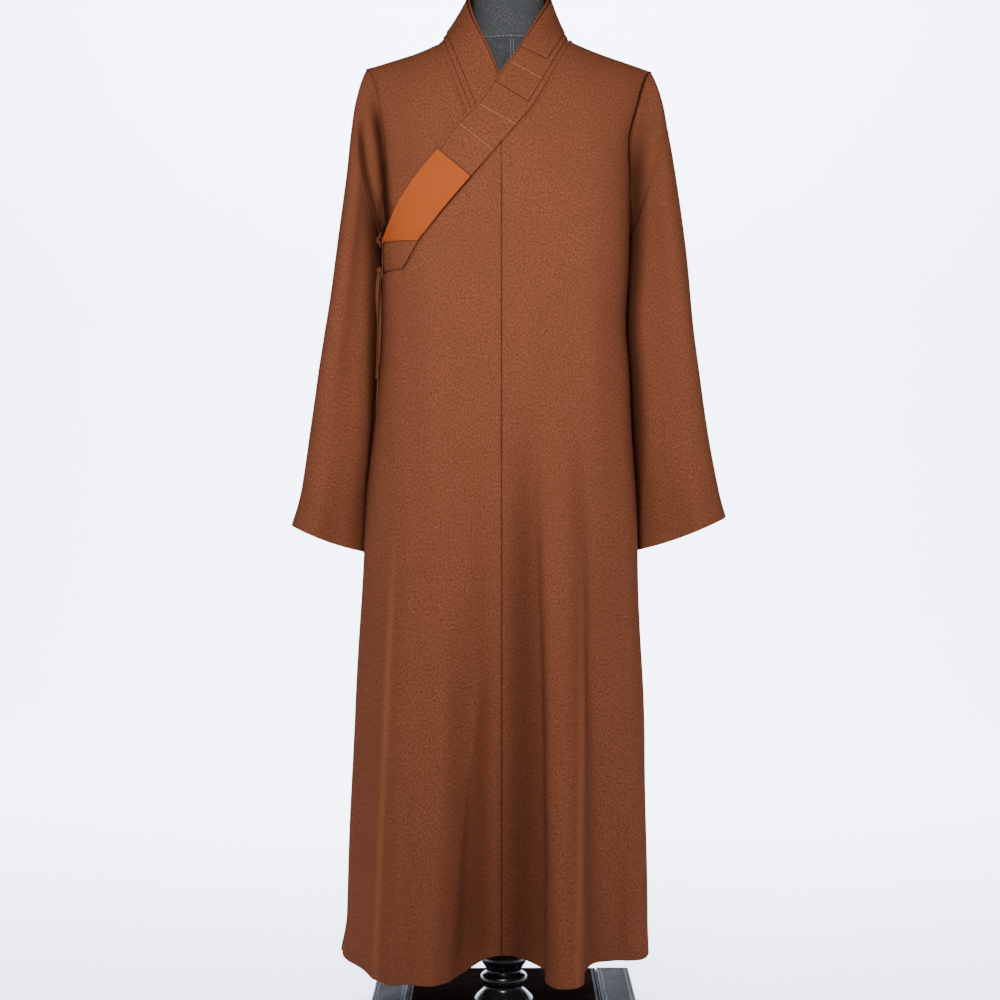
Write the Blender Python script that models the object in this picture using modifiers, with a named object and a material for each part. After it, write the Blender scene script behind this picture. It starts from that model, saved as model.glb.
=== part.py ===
"""A long Buddhist monk's robe, worn by a limbless dress form on a turned post and a base.

+X is the wearer's left, -Y the front and +Z up.  The origin is on the floor, under the
middle of the base.  Sizes are metres.  Each table starts with a row that names its columns.
"""
import math

import bmesh
import bpy
from mathutils import Vector

# ------------------------------------------------------------------ driving sizes
NAME = "monk_robe_on_dress_form"
WALL = 0.0018            # one thickness of the robe's wool
FOLDED = 0.0022          # the collar band, which is folded cloth
LAYER = 0.0015           # each layer sewn on the collar
GAP = 0.0004             # left between two pieces where a seam joins them
EDGE_GAP = 0.0014        # sideways gap to the collar's slanting edge
NECK_GAP = 1.7           # the backs' gap in the middle of the neck, in EDGE_GAPs
NECK_END_GAP = 1.4       # and where the neck's edge meets the shoulder
SEAM_STRIP = 0.02        # share of a panel's width that runs straight along its seam
HEM = 0.120              # height of the hem above the floor
ROLL = 1.250             # where front and back start to roll over towards the shoulder
ROLL_SQUARE = 2.2        # of the roll over the shoulder: 2 is an ellipse
ARMPIT = 1.200
SEAM_X = -0.0035         # the centre-front seam
BACK_SEAM_X = 0.0040     # the centre-back seam
UNDER_EDGE_X = 0.030     # free edge of the inner right front
UNDER_HEM_RISE = 0.018   # its hem is this much higher than the outer hem
UNDER_SWEEP = (0.08, 0.02)       # its free edge sweeps in between these depths under its collar
UNDER_SEAM_EASE = 0.035  # it comes up to the outer layer over this distance at the armhole
ARMHOLE_SWEEP = 19.0     # degrees of the section that the sleeve takes, front and back
ARMHOLE_ROUND = 0.6      # of the armhole's outline: 1 is a plain arch, and less is squarer
SLEEVE_ROUND = 0.7       # of a sleeve's section: 1 is an ellipse, and less is squarer
FOLD_FADE = 1.6          # the folds die out where the section is rounder than 1 / this
SLEEVE_STANDS = 0.0014   # the sleeve's head stands out this much beside the armhole
BAND_RISE = 0.0006       # the band stands this much proud of the fronts
LIFT = 0.0004            # clearance between layers that lie on each other
FORM_CLEARANCE = 0.0125  # the form's surface lies at least this deep under the robe's
FORM_NECK = 1.478        # and above this it is the bare neck, with only the collar round it
FORM_THINNEST = 0.003    # half depth that the form keeps at its sides

# Heights of the mesh rows: 0 is the hem, 1 is ROLL and 2 the ridge of the shoulders.
ARMPIT_LEVEL = (ARMPIT - HEM) / (ROLL - HEM)
SEAM_TOP_LEVEL = 1.157   # where the centre-front seam meets the collar
OVERLAP_TOP_LEVEL = 1.18
LOWER_LEVELS = [0.0, 0.05, 0.12, 0.20, 0.29, 0.39, 0.50, 0.62, 0.75, 0.83]
UPPER_LEVELS = [0.91, ARMPIT_LEVEL, 1.0, 1.09, SEAM_TOP_LEVEL, 1.22, 1.3, 1.4, 1.5, 1.62, 1.75,
                1.87, 1.96, 2.0]

# Shares of a back panel's width for its mesh columns: to the neck point, then past it.
NECK_SHARES = (0.0, 0.1, 0.4, 0.7, 0.88, 0.975)
SHOULDER_SHARES = (0.0, 0.12, 0.26, 0.4, 0.55, 0.7, 0.86, 0.98, 1.0)
NECK_HALF = 0.100        # half width of the neck opening at the back

SLEEVE_AROUND = 18       # mesh columns and rows
SLEEVE_RINGS = 13
SLEEVE_JOIN = 1.6        # rows of its table over which a sleeve leaves the armhole's line
FORM_AROUND = 26
POST_STEPS = 20

WOOL = (0.165, 0.058, 0.030)
ORANGE = (0.480, 0.135, 0.040)
CHARCOAL = (0.070, 0.078, 0.082)
LACQUER = (0.012, 0.010, 0.009)
STAIN = (0.035, 0.016, 0.010)

# The robe's body: half widths on the wearer's right (-X) and left (+X), and how far its
# front and back stand from the side seams, before the folds.  A section that is 2 square is
# an ellipse.
BODY = (
    ("height", "right", "left", "front", "back", "square"),
    (0.120, 0.2440, 0.2185, 0.150, 0.160, 2.4),
    (0.170, 0.2360, 0.2160, 0.150, 0.158, 2.4),
    (0.360, 0.2285, 0.2125, 0.148, 0.152, 2.4),
    (0.500, 0.2205, 0.2095, 0.144, 0.144, 2.4),
    (0.665, 0.2115, 0.2020, 0.137, 0.135, 2.4),
    (0.800, 0.2035, 0.1970, 0.131, 0.126, 2.5),
    (0.900, 0.1940, 0.1900, 0.126, 0.120, 2.6),
    (0.985, 0.1880, 0.1850, 0.123, 0.116, 2.7),
    (1.060, 0.1830, 0.1795, 0.121, 0.114, 2.8),
    (1.140, 0.1815, 0.1850, 0.119, 0.112, 2.9),
    (1.200, 0.1815, 0.1870, 0.117, 0.110, 3.0),
    (1.270, 0.1820, 0.1880, 0.115, 0.108, 3.0),
    (1.330, 0.1860, 0.1920, 0.114, 0.106, 3.0),
    (1.380, 0.1960, 0.2085, 0.113, 0.105, 3.0),
    (1.442, 0.2070, 0.2220, 0.112, 0.104, 3.0),
)

# The ridge where front and back meet over the shoulders.  Inside the neck opening the
# front and the back each go on along their own line.
RIDGE = (
    ("x", "front", "back"),
    (-0.207, 1.4415, 1.4415),
    (-0.163, 1.4550, 1.4550),
    (-0.120, 1.4690, 1.4690),
    (-0.096, 1.4790, 1.4810),
    (-0.060, 1.4960, 1.5350),
    (0.004, 1.5100, 1.5600),
    (0.068, 1.4960, 1.5350),
    (0.104, 1.4790, 1.4810),
    (0.139, 1.4645, 1.4645),
    (0.177, 1.4515, 1.4515),
    (0.222, 1.4370, 1.4370),
)
RIDGE_Y = 0.004

# Drape folds.  Each starts at "top", has its crest at x "top_x" there and "hem_x" at the
# hem, reaches "right" towards -X and "left" towards +X, stands "out" at the hem, and is
# level for "flat" each side of the crest.
FRONT_FOLDS = (
    ("top", "top_x", "hem_x", "right", "left", "flat", "out"),
    (0.900, -0.150, -0.170, 0.046, 0.034, 0.000, 0.022),
    (0.860, -0.100, -0.128, 0.100, 0.068, 0.020, 0.068),
    (0.980, 0.012, -0.004, 0.072, 0.066, 0.012, -0.056),
    (0.960, 0.080, 0.087, 0.060, 0.042, 0.004, 0.078),
    (0.900, 0.135, 0.152, 0.046, 0.070, 0.010, -0.048),
)
BACK_FOLDS = (
    ("top", "top_x", "hem_x", "right", "left", "flat", "out"),
    (0.900, -0.120, -0.140, 0.060, 0.060, 0.000, 0.034),
    (0.820, -0.055, -0.062, 0.050, 0.050, 0.000, -0.022),
    (0.960, 0.004, 0.004, 0.085, 0.085, 0.010, 0.024),
    (0.820, 0.058, 0.066, 0.050, 0.050, 0.000, -0.022),
    (0.900, 0.118, 0.138, 0.060, 0.060, 0.000, 0.034),
)
FOLD_GROWTH = 1.25       # how the folds deepen on their way down: 1 is evenly
HEM_RISE = 0.014         # the hem lifts this much in the middle of the front valley
HEM_RISE_REACH = 0.075

# How deep the inner right front and its collar lie under the outer layer.
UNDER = (
    ("height", "depth"),
    (0.120, 0.0110),
    (0.500, 0.0090),
    (0.900, 0.0060),
    (1.200, 0.0046),
    (1.335, 0.0066),
    (1.410, 0.0066),
    (1.450, 0.0030),
    (1.479, 0.0000),
)

# The collar from its hidden inner end, round the neck, to its tail.  "neck" is the free
# edge and "sewn" the edge on the robe.  Where "stand" is 0 the collar lies on the robe;
# where it is 1 it stands free, with its neck edge at neck_y.
COLLAR = (
    ("neck_x", "neck_y", "neck_z", "sewn_x", "sewn_z", "stand"),
    (0.0130, -0.094, 1.3740, -0.0485, 1.3475, 0.0),
    (-0.0065, -0.087, 1.4235, -0.0693, 1.4003, 0.1),
    (-0.0220, -0.072, 1.4625, -0.0840, 1.4398, 0.6),
    (-0.0311, -0.062, 1.4807, -0.0912, 1.4610, 1.0),
    (-0.0439, -0.042, 1.5110, -0.0960, 1.4785, 1.0),
    (-0.0510, -0.006, 1.5440, -0.0900, 1.4830, 1.0),
    (-0.0400, 0.040, 1.5570, -0.0580, 1.4820, 1.0),
    (0.0065, 0.059, 1.5620, 0.0040, 1.4830, 1.0),
    (0.0540, 0.040, 1.5570, 0.0660, 1.4820, 1.0),
    (0.0655, -0.006, 1.5445, 0.0950, 1.4835, 1.0),
    (0.0459, -0.042, 1.5057, 0.0985, 1.4765, 1.0),
    (0.0229, -0.068, 1.4636, 0.0783, 1.4363, 0.8),
    (-0.0138, -0.090, 1.4106, 0.0436, 1.3738, 0.1),
    (-0.0377, -0.098, 1.3756, 0.0188, 1.3434, 0.0),
    (-0.0679, -0.105, 1.3448, -0.0159, 1.3022, 0.0),
    (-0.0955, -0.105, 1.3068, -0.0477, 1.2660, 0.0),
    (-0.1246, -0.100, 1.2722, -0.0794, 1.2295, 0.0),
    (-0.1506, -0.080, 1.2355, -0.0980, 1.2068, 0.0),
    (-0.1657, -0.060, 1.2054, -0.1128, 1.1882, 0.0),
    (-0.1765, -0.045, 1.1771, -0.1239, 1.1746, 0.0),
    (-0.1765, -0.045, 1.1340, -0.1478, 1.1345, 0.0),
)
RIGHT_NECK_STATION = 4.6         # where the collar passes the shoulder ridge
LEFT_NECK_STATION = 9.5
COLLAR_END = 20.0
SEAM_STATION = 14.6              # where its sewn edge passes the centre-front seam

# Layers on the band: where they start and end along it, and across it from the free edge.
COLLAR_LAYERS = (
    ("name", "start", "end", "free", "sewn"),
    ("collar_middle_layer", 0.25, 12.05, 0.06, 0.87),
    ("collar_top_layer", 0.35, 11.05, 0.06, 0.74),
)
PATCH = (15.0, 19.0)             # the orange patch, from station to station
COLLAR_SHARES = (0.0, 0.06, 0.40, 0.74, 0.87, 1.0)     # its mesh columns, across it

# A sleeve: its outer and inner (body side) edges and half depths, with x and z for each.
# "head" is the outer half's own SLEEVE_ROUND, which is squarer over the shoulder.
SLEEVE_LEFT = (
    ("outer_x", "outer_z", "inner_x", "inner_z", "front", "back", "head"),
    (0.2220, 1.4370, 0.1880, 1.2000, 0.046, 0.046, 0.40),
    (0.2345, 1.3980, 0.1905, 1.1850, 0.048, 0.050, 0.40),
    (0.2420, 1.3500, 0.1920, 1.1650, 0.052, 0.052, 0.42),
    (0.2540, 1.2750, 0.1915, 1.1200, 0.061, 0.060, 0.48),
    (0.2745, 1.1490, 0.1875, 1.0400, 0.063, 0.062, 0.56),
    (0.2890, 1.0320, 0.1905, 0.9500, 0.062, 0.061, 0.64),
    (0.3040, 0.9150, 0.1970, 0.8600, 0.060, 0.059, 0.70),
    (0.3215, 0.8190, 0.2030, 0.7800, 0.056, 0.056, 0.70),
    (0.3310, 0.7720, 0.2070, 0.7180, 0.053, 0.054, 0.70),
)
SLEEVE_RIGHT = (
    ("outer_x", "outer_z", "inner_x", "inner_z", "front", "back", "head"),
    (0.2070, 1.4415, 0.1820, 1.2000, 0.046, 0.046, 0.40),
    (0.2195, 1.3980, 0.1860, 1.1850, 0.048, 0.050, 0.40),
    (0.2260, 1.3500, 0.1880, 1.1650, 0.052, 0.052, 0.42),
    (0.2315, 1.2750, 0.1880, 1.1200, 0.061, 0.060, 0.48),
    (0.2500, 1.1490, 0.1900, 1.0400, 0.063, 0.062, 0.56),
    (0.2680, 1.0320, 0.1960, 0.9500, 0.062, 0.061, 0.64),
    (0.2840, 0.9150, 0.2030, 0.8600, 0.060, 0.059, 0.70),
    (0.3010, 0.8180, 0.2110, 0.7800, 0.056, 0.056, 0.70),
    (0.3165, 0.7600, 0.2130, 0.7150, 0.053, 0.054, 0.70),
)

# The cloth-covered form, from its flat foot to its flat top.
FORM = (
    ("height", "x", "half", "front", "back"),
    (0.7700, 0.000, 0.1400, 0.082, 0.082),
    (0.7760, 0.000, 0.1500, 0.090, 0.090),
    (0.8200, 0.000, 0.1570, 0.097, 0.096),
    (0.8900, 0.000, 0.1560, 0.098, 0.098),
    (0.9700, 0.001, 0.1440, 0.090, 0.090),
    (1.0400, 0.002, 0.1380, 0.086, 0.084),
    (1.1100, 0.003, 0.1440, 0.092, 0.086),
    (1.1800, 0.003, 0.1560, 0.100, 0.090),
    (1.2500, 0.004, 0.1640, 0.103, 0.092),
    (1.3100, 0.005, 0.1660, 0.099, 0.090),
    (1.3600, 0.006, 0.1760, 0.088, 0.084),
    (1.4000, 0.007, 0.1900, 0.078, 0.076),
    (1.4200, 0.007, 0.1930, 0.071, 0.070),
    (1.4320, 0.007, 0.1880, 0.065, 0.065),
    (1.4420, 0.007, 0.1650, 0.060, 0.061),
    (1.4520, 0.007, 0.1330, 0.056, 0.058),
    (1.4620, 0.007, 0.1050, 0.053, 0.056),
    (1.4740, 0.007, 0.0800, 0.051, 0.054),
    (1.4900, 0.007, 0.0630, 0.050, 0.053),
    (1.5120, 0.007, 0.0555, 0.049, 0.052),
    (1.5450, 0.007, 0.0525, 0.048, 0.051),
    (1.5900, 0.007, 0.0520, 0.048, 0.051),
    (1.6000, 0.007, 0.0500, 0.046, 0.049),
    (1.6050, 0.007, 0.0450, 0.041, 0.044),
)

# The turned post, down its outer side.
POST = (
    ("radius", "height"),
    (0.0170, 0.7690),
    (0.0170, 0.1900),
    (0.0200, 0.1600),
    (0.0255, 0.1350),
    (0.0330, 0.1160),
    (0.0345, 0.1100),
    (0.0330, 0.1035),
    (0.0290, 0.0975),
    (0.0270, 0.0920),
    (0.0290, 0.0875),
    (0.0335, 0.0845),
    (0.0350, 0.0790),
    (0.0335, 0.0735),
    (0.0290, 0.0700),
    (0.0300, 0.0640),
    (0.0380, 0.0560),
    (0.0440, 0.0490),
    (0.0440, 0.0453),
)

BASE_SIZE = 0.400
BASE_HEIGHT = 0.045
BASE_Y = -0.005          # the base's middle, against the post
RAIL_WIDTH = 0.052
BASE_BEVEL = 0.004
BOARD_BEVEL = 0.001

# The side tie: each strand's line from the knot down, then the knot and the tab over it.
TIE_WIDTH = 0.0055
TIE_THICK = 0.0012
TIE_LIES = (0.55, -0.83, 0.0)    # across a strand, which lies against the robe's side
TIE_STRANDS = (
    ("name", "points"),
    ("tie_strand_front", ((-0.1835, -0.0560, 1.1330), (-0.1850, -0.0575, 1.1000),
                          (-0.1845, -0.0560, 1.0500), (-0.1865, -0.0570, 0.9770))),
    ("tie_strand_back", ((-0.1820, -0.0520, 1.1330), (-0.1845, -0.0510, 1.1050),
                         (-0.1850, -0.0500, 1.0550), (-0.1880, -0.0500, 0.9950))),
)
TIE_LUMPS = (
    ("name", "middle", "half"),
    ("tie_knot", (-0.1845, -0.0530, 1.1395), (0.0045, 0.0060, 0.0052)),
    ("tie_tab", (-0.1890, -0.0470, 1.1900), (0.0030, 0.0045, 0.0130)),
)


# ------------------------------------------------------------------ small helpers
def column(table, name):
    """One named column of a table, without its heading."""
    place = table[0].index(name)
    return [row[place] for row in table[1:]]


def entries(table):
    """A table's rows, each as a dictionary with the table's names."""
    return [dict(zip(table[0], row)) for row in table[1:]]


def smooth(keys, values, key):
    """A smooth curve through (keys, values), with keys rising, held level past its ends."""
    if key <= keys[0]:
        return values[0]
    if key >= keys[-1]:
        return values[-1]
    i = max(k for k in range(len(keys) - 1) if keys[k] <= key)

    def slope(k):
        low, high = max(k - 1, 0), min(k + 1, len(keys) - 1)
        return (values[high] - values[low]) / (keys[high] - keys[low])

    span = keys[i + 1] - keys[i]
    t = (key - keys[i]) / span
    return ((2 * t**3 - 3 * t**2 + 1) * values[i] + (t**3 - 2 * t**2 + t) * span * slope(i)
            + (3 * t**2 - 2 * t**3) * values[i + 1] + (t**3 - t**2) * span * slope(i + 1))


def look_up(table, key_name, name, key):
    """A smooth value from a table: column `name` where column `key_name` is `key`."""
    return smooth(column(table, key_name), column(table, name), key)


def ease(low, high, value):
    """0 below low, 1 above high, and a soft S between."""
    t = min(1.0, max(0.0, (value - low) / (high - low)))
    return t * t * (3 - 2 * t)


def spread(low, high, count):
    return [low + (high - low) * i / (count - 1) for i in range(count)]


def seam_to_seam(count):
    """Shares of a row's width, with a narrow strip along each seam."""
    return [0.0, SEAM_STRIP] + spread(0, 1, count - 2)[1:-1] + [1 - SEAM_STRIP, 1.0]


# ------------------------------------------------------------------ the robe's surface
def half_width(x_sign, z):
    """Half width of the body at a height, on the side that x_sign points to."""
    return look_up(BODY, "height", "left" if x_sign > 0 else "right", z)


def fold_depth(folds, x, z):
    """How far the folds push the cloth out at (x, z)."""
    total = 0.0
    for fold in entries(folds):
        if z < fold["top"]:
            down = (fold["top"] - z) / (fold["top"] - HEM)
            crest = fold["top_x"] + (fold["hem_x"] - fold["top_x"]) * down
            reach = fold["left" if x > crest else "right"]
            away = min(1.0, max(0.0, abs(x - crest) - fold["flat"]) / (reach - fold["flat"]))
            total += fold["out"] * down**FOLD_GROWTH * math.cos(away * math.pi / 2)**2
    return total


def ridge_height(face, x):
    return look_up(RIDGE, "x", "front" if face < 0 else "back", x)


def robe_y(face, x, z):
    """The robe's outer surface as a depth: face -1 is the front and 1 the back."""
    share = min(1.0, abs(x) / half_width(x, z))
    square = look_up(BODY, "height", "square", z)
    round_off = (1 - share**square)**(1 / square)
    depth = look_up(BODY, "height", "front" if face < 0 else "back", z) * round_off
    folds = FRONT_FOLDS if face < 0 else BACK_FOLDS
    depth += fold_depth(folds, x, z) * min(1.0, FOLD_FADE * round_off)
    roll = min(1.0, max(0.0, (z - ROLL) / (ridge_height(face, x) - ROLL)))
    rolled = depth * (1 - roll**ROLL_SQUARE)**(1 / ROLL_SQUARE)
    return RIDGE_Y * roll + face * (rolled + GAP / 2 * (1 + 2 * roll))


def robe_point(face, x, z, out=0.0):
    """A point on the robe's surface, moved out of it along its normal."""
    step = 0.0005
    inward = -step if x > 0 else step
    y = robe_y(face, x, z)
    across = (robe_y(face, x + inward, z) - y) / inward
    up = (robe_y(face, x, z + step) - robe_y(face, x, z - step)) / (2 * step)
    normal = Vector((across, -1, up)) if face < 0 else Vector((-across, 1, -up))
    return Vector((x, y, z)) + normal.normalized() * out


def hem_height(face, x):
    """The hem is level but for its rise in the front valley."""
    if face > 0:
        return HEM
    away = min(1.0, abs(x) / HEM_RISE_REACH)
    return HEM + HEM_RISE * math.cos(away * math.pi / 2)**2


def row_height(face, level, x, hem=None):
    """Levels run from 0 at the hem to 1 where the cloth rolls over, and 2 on the ridge."""
    low = hem_height(face, x) if hem is None else hem
    if level <= 1:
        return low + (ROLL - low) * level
    return ROLL + (ridge_height(face, x) - ROLL) * math.sin((level - 1) * math.pi / 2)


def turned_x(turn, z):
    """x of the section's point that is `turn` degrees round from the middle."""
    swing = math.sin(math.radians(turn))
    return swing * half_width(swing, z)


def on_row(face, level, turn, hem=None):
    """The (x, z) where a row crosses the line at `turn` degrees."""
    z = row_height(face, level, 0.0, hem)
    for _ in range(12):
        x = turned_x(turn, z)
        z = row_height(face, level, x, hem)
    return x, z


def turn_at(face, level, edge, hem=None):
    """The turn in degrees where a row meets the edge x = edge(z)."""
    low, high = -90.0, 90.0
    for _ in range(40):
        middle = (low + high) / 2
        x, z = on_row(face, level, middle, hem)
        low, high = (middle, high) if x < edge(z) else (low, middle)
    return low


def armhole_turn(level):
    """How far round the body reaches at a level: all the way, but for the armhole."""
    if level <= ARMPIT_LEVEL:
        return 90.0
    along = (level - ARMPIT_LEVEL) / (2 - ARMPIT_LEVEL)
    return 90.0 - ARMHOLE_SWEEP * math.sin(math.pi * along)**ARMHOLE_ROUND


# ------------------------------------------------------------------ the collar's surface
def collar_value(name, station):
    values = column(COLLAR, name)
    return smooth(list(range(len(values))), values, station)


def sewn_edge(station):
    """The collar's sewn edge, on the robe's surface."""
    x, z = collar_value("sewn_x", station), collar_value("sewn_z", station)
    passed = RIGHT_NECK_STATION <= station <= LEFT_NECK_STATION
    face = 1 if passed else -1
    z = min(z, ridge_height(face, x) - 0.0002)
    return face, x, z


def sink(station):
    """How deep the collar lies under the outer layer."""
    height = collar_value("sewn_z", station)
    depth = look_up(UNDER, "height", "depth", height)
    return depth if station < RIGHT_NECK_STATION else 0.0


def collar_base(station, across):
    """The band's middle surface before it is lifted: across is 0 at the free edge."""
    face, sewn_x, sewn_z = sewn_edge(station)
    sewn = robe_point(face, sewn_x, sewn_z)
    free_x, free_z = collar_value("neck_x", station), collar_value("neck_z", station)
    free = Vector((free_x, collar_value("neck_y", station), free_z))
    straight = free.lerp(sewn, across)
    stand = collar_value("stand", station)
    if stand > 0.999:
        return straight
    lying = robe_point(face, straight.x, straight.z)
    return lying.lerp(straight, max(0.0, stand))


def collar_point(station, across, out=0.0):
    """A point of the collar, moved out along its normal."""
    step = 0.02
    before, after = max(0.0, station - step), min(COLLAR_END, station + step)
    along = collar_base(after, across) - collar_base(before, across)
    width = collar_base(station, min(1.0, across + step)) - collar_base(station, max(0.0, across - step))
    normal = along.cross(width).normalized()
    return collar_base(station, across) + normal * (out - sink(station))


def edge_samples(first, last):
    """(x, z) along the sewn edge between two stations."""
    return [sewn_edge(station)[1:] for station in spread(first, last, 160)]


def edge_x_at(samples):
    """x of the sewn edge as a function of height."""
    ordered = sorted(samples, key=lambda point: point[1])

    def edge(z):
        for (x0, z0), (x1, z1) in zip(ordered, ordered[1:]):
            if z0 <= z <= z1 and z1 > z0:
                return x0 + (x1 - x0) * (z - z0) / (z1 - z0)
        return ordered[0][0] if z < ordered[0][1] else ordered[-1][0]
    return edge


# ------------------------------------------------------------------ making objects
def clear_scene():
    for item in list(bpy.data.objects):
        bpy.data.objects.remove(item, do_unlink=True)


def new_collection(name):
    collection = bpy.data.collections.new(name)
    bpy.context.scene.collection.children.link(collection)
    return collection


def new_material(name, colour, roughness, sheen=0.0):
    material = bpy.data.materials.new(name)
    material.use_nodes = True
    shader = material.node_tree.nodes["Principled BSDF"]
    shader.inputs["Base Color"].default_value = (*colour, 1.0)
    shader.inputs["Roughness"].default_value = roughness
    shader.inputs["Metallic"].default_value = 0.0
    shader.inputs["Sheen Weight"].default_value = sheen
    return material


def place(mesh, name, material, collection):
    item = bpy.data.objects.new(name, mesh)
    mesh.materials.append(material)
    mesh.shade_smooth()
    collection.objects.link(item)
    return item


def grid_mesh(name, rows, closed=False, folded_at=None):
    """An open sheet through rows of points; closed joins each row's ends.

    A point that is None leaves its faces out.  A strap's rows turn back at folded_at, and
    its faces are split the same way on both sides, so that straps which lie on each other
    stay parallel.
    """
    sheet = bmesh.new()
    verts = [[point and sheet.verts.new(point) for point in row] for row in rows]
    wide = len(rows[0])
    for lower, upper in zip(verts, verts[1:]):
        for i in range(wide if closed else wide - 1):
            j = (i + 1) % wide
            if None in (lower[i], lower[j], upper[i], upper[j]):
                continue
            if folded_at is None:
                sheet.faces.new((lower[i], lower[j], upper[j], upper[i]))
            elif i < folded_at:
                sheet.faces.new((lower[i], lower[j], upper[i]))
                sheet.faces.new((lower[j], upper[j], upper[i]))
            else:
                sheet.faces.new((lower[i], lower[j], upper[j]))
                sheet.faces.new((lower[i], upper[j], upper[i]))
    mesh = bpy.data.meshes.new(name)
    sheet.to_mesh(mesh)
    sheet.free()
    return mesh


def close_ends(mesh):
    """Fills the open ends of a tube and turns every face outwards."""
    body = bmesh.new()
    body.from_mesh(mesh)
    bmesh.ops.holes_fill(body, edges=[edge for edge in body.edges if edge.is_boundary])
    bmesh.ops.recalc_face_normals(body, faces=body.faces)
    body.to_mesh(mesh)
    body.free()


def shell(name, rows, thickness, material, collection, closed=False, side=-1.0):
    """A cloth wall: a sheet that Solidify thickens inwards (side -1) or outwards (1)."""
    item = place(grid_mesh(name, rows, closed), name, material, collection)
    wall = item.modifiers.new("wall", "SOLIDIFY")
    wall.thickness = thickness
    wall.offset = side
    wall.use_rim = True
    return item


def facing(face, row):
    """Rows run so that their faces point out of the robe."""
    return row if face < 0 else row[::-1]


# ------------------------------------------------------------------ the robe's pieces
def body_rows(face, levels, right_edge, left_edge, shares, inset=None, hem=None):
    """Rows of points between two edges: each edge gives its turn for a level."""
    rows = []
    for level in levels:
        first, last = right_edge(level), left_edge(level)
        row = []
        for share in shares:
            x, z = on_row(face, level, first + (last - first) * share, hem)
            row.append(robe_point(face, x, z, -inset(x, z) if inset else 0.0))
        rows.append(facing(face, row))
    return rows


def make_front_left(material, collection):
    collar = edge_x_at(edge_samples(LEFT_NECK_STATION, SEAM_STATION))
    limit = sewn_edge(SEAM_STATION)[2]

    def inner(z):
        if z < limit:
            return SEAM_X + GAP / 2
        return max(SEAM_X + GAP / 2, collar(z) + EDGE_GAP)

    rows = body_rows(-1, LOWER_LEVELS + UPPER_LEVELS, lambda level: turn_at(-1, level, inner),
                     armhole_turn, seam_to_seam(17))
    shell("front_left", rows, WALL, material, collection)


def make_front_overlap(material, collection):
    """The overlap goes out to the side below the collar's tail, and to the collar above it."""
    collar = edge_x_at(edge_samples(SEAM_STATION - 1, COLLAR_END))
    tail = (column(COLLAR, "sewn_z")[-1] - EDGE_GAP - HEM) / (ROLL - HEM)
    tail_turn = turn_at(-1, tail, lambda z: collar(z) + EDGE_GAP)
    rows = []
    upper = [level for level in UPPER_LEVELS if level < OVERLAP_TOP_LEVEL]
    for level in sorted([*LOWER_LEVELS, tail, *upper]):
        seam = turn_at(-1, level, lambda z: SEAM_X - GAP / 2)
        if level <= tail:
            first = tail_turn
            beside_tail = spread(-armhole_turn(level), tail_turn, 6)[:-1]
        else:
            first = turn_at(-1, level, lambda z: collar(z) + EDGE_GAP)
            beside_tail = [None] * 5
        turns = beside_tail + [first + (seam - first) * share for share in seam_to_seam(13)]
        rows.append([None if turn is None else robe_point(-1, *on_row(-1, level, turn))
                     for turn in turns])
    shell("front_overlap", rows, WALL, material, collection)


def under_inset(x, z):
    """Depth of the inner front: nothing at the shoulder and the armhole, where it is sewn."""
    depth = look_up(UNDER, "height", "depth", z)
    armhole = half_width(x, z) * math.cos(math.radians(ARMHOLE_SWEEP))
    from_armhole = ease(0.0, UNDER_SEAM_EASE, armhole + UNDER_SEAM_EASE / 4 - abs(x))
    return depth * (1 - ease(ARMPIT, ROLL, z) * (1 - from_armhole))


def make_front_under(material, collection):
    collar = edge_x_at(edge_samples(0.0, RIGHT_NECK_STATION))
    low_x, low_z = sewn_edge(0.0)[1:]

    def inner(z):
        if z >= low_z:
            return collar(z) - EDGE_GAP
        start = low_x - 2 * EDGE_GAP
        deep, shallow = UNDER_SWEEP
        return UNDER_EDGE_X + (start - UNDER_EDGE_X) * ease(low_z - deep, low_z - shallow, z)

    hem = HEM + UNDER_HEM_RISE
    rows = body_rows(-1, LOWER_LEVELS + UPPER_LEVELS, lambda level: -armhole_turn(level),
                     lambda level: turn_at(-1, level, inner, hem), seam_to_seam(14),
                     under_inset, hem)
    shell("front_under", rows, WALL, material, collection)


def make_back(material, collection):
    """Two back panels, cut off along the collar's sewn edge."""
    neck = sorted(edge_samples(RIGHT_NECK_STATION + 0.01, LEFT_NECK_STATION - 0.01))

    def neck_height(x):
        for (x0, z0), (x1, z1) in zip(neck, neck[1:]):
            if x0 <= x <= x1:
                gap = EDGE_GAP * (NECK_GAP - (NECK_GAP - 1) * abs(x / NECK_HALF)**4)
                return z0 + (z1 - z0) * (x - x0) / (x1 - x0) - gap
        return ridge_height(1, x)

    for name, side in (("back_right", -1), ("back_left", 1)):
        seam = BACK_SEAM_X + side * GAP / 2
        neck_x = neck[0 if side < 0 else -1][0] + side * NECK_END_GAP * EDGE_GAP
        neck_turn = turn_at(1, 2.0, lambda z: neck_x)
        rows = []
        for level in LOWER_LEVELS + UPPER_LEVELS:
            first = turn_at(1, level, lambda z: seam)
            last = side * armhole_turn(level)
            by_neck = [first + (neck_turn - first) * share for share in NECK_SHARES]
            row = []
            for turn in by_neck + [neck_turn + (last - neck_turn) * share for share in SHOULDER_SHARES]:
                x, z = on_row(1, level, turn)
                roll = max(0.0, (z - ROLL) / (ridge_height(1, x) - ROLL))
                z = min(z, ROLL + (neck_height(x) - ROLL) * roll) if level > 1 else z
                row.append(robe_point(1, x, z))
            rows.append(row[::-1] if side > 0 else row)
        shell(name, rows, WALL, material, collection)


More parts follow.
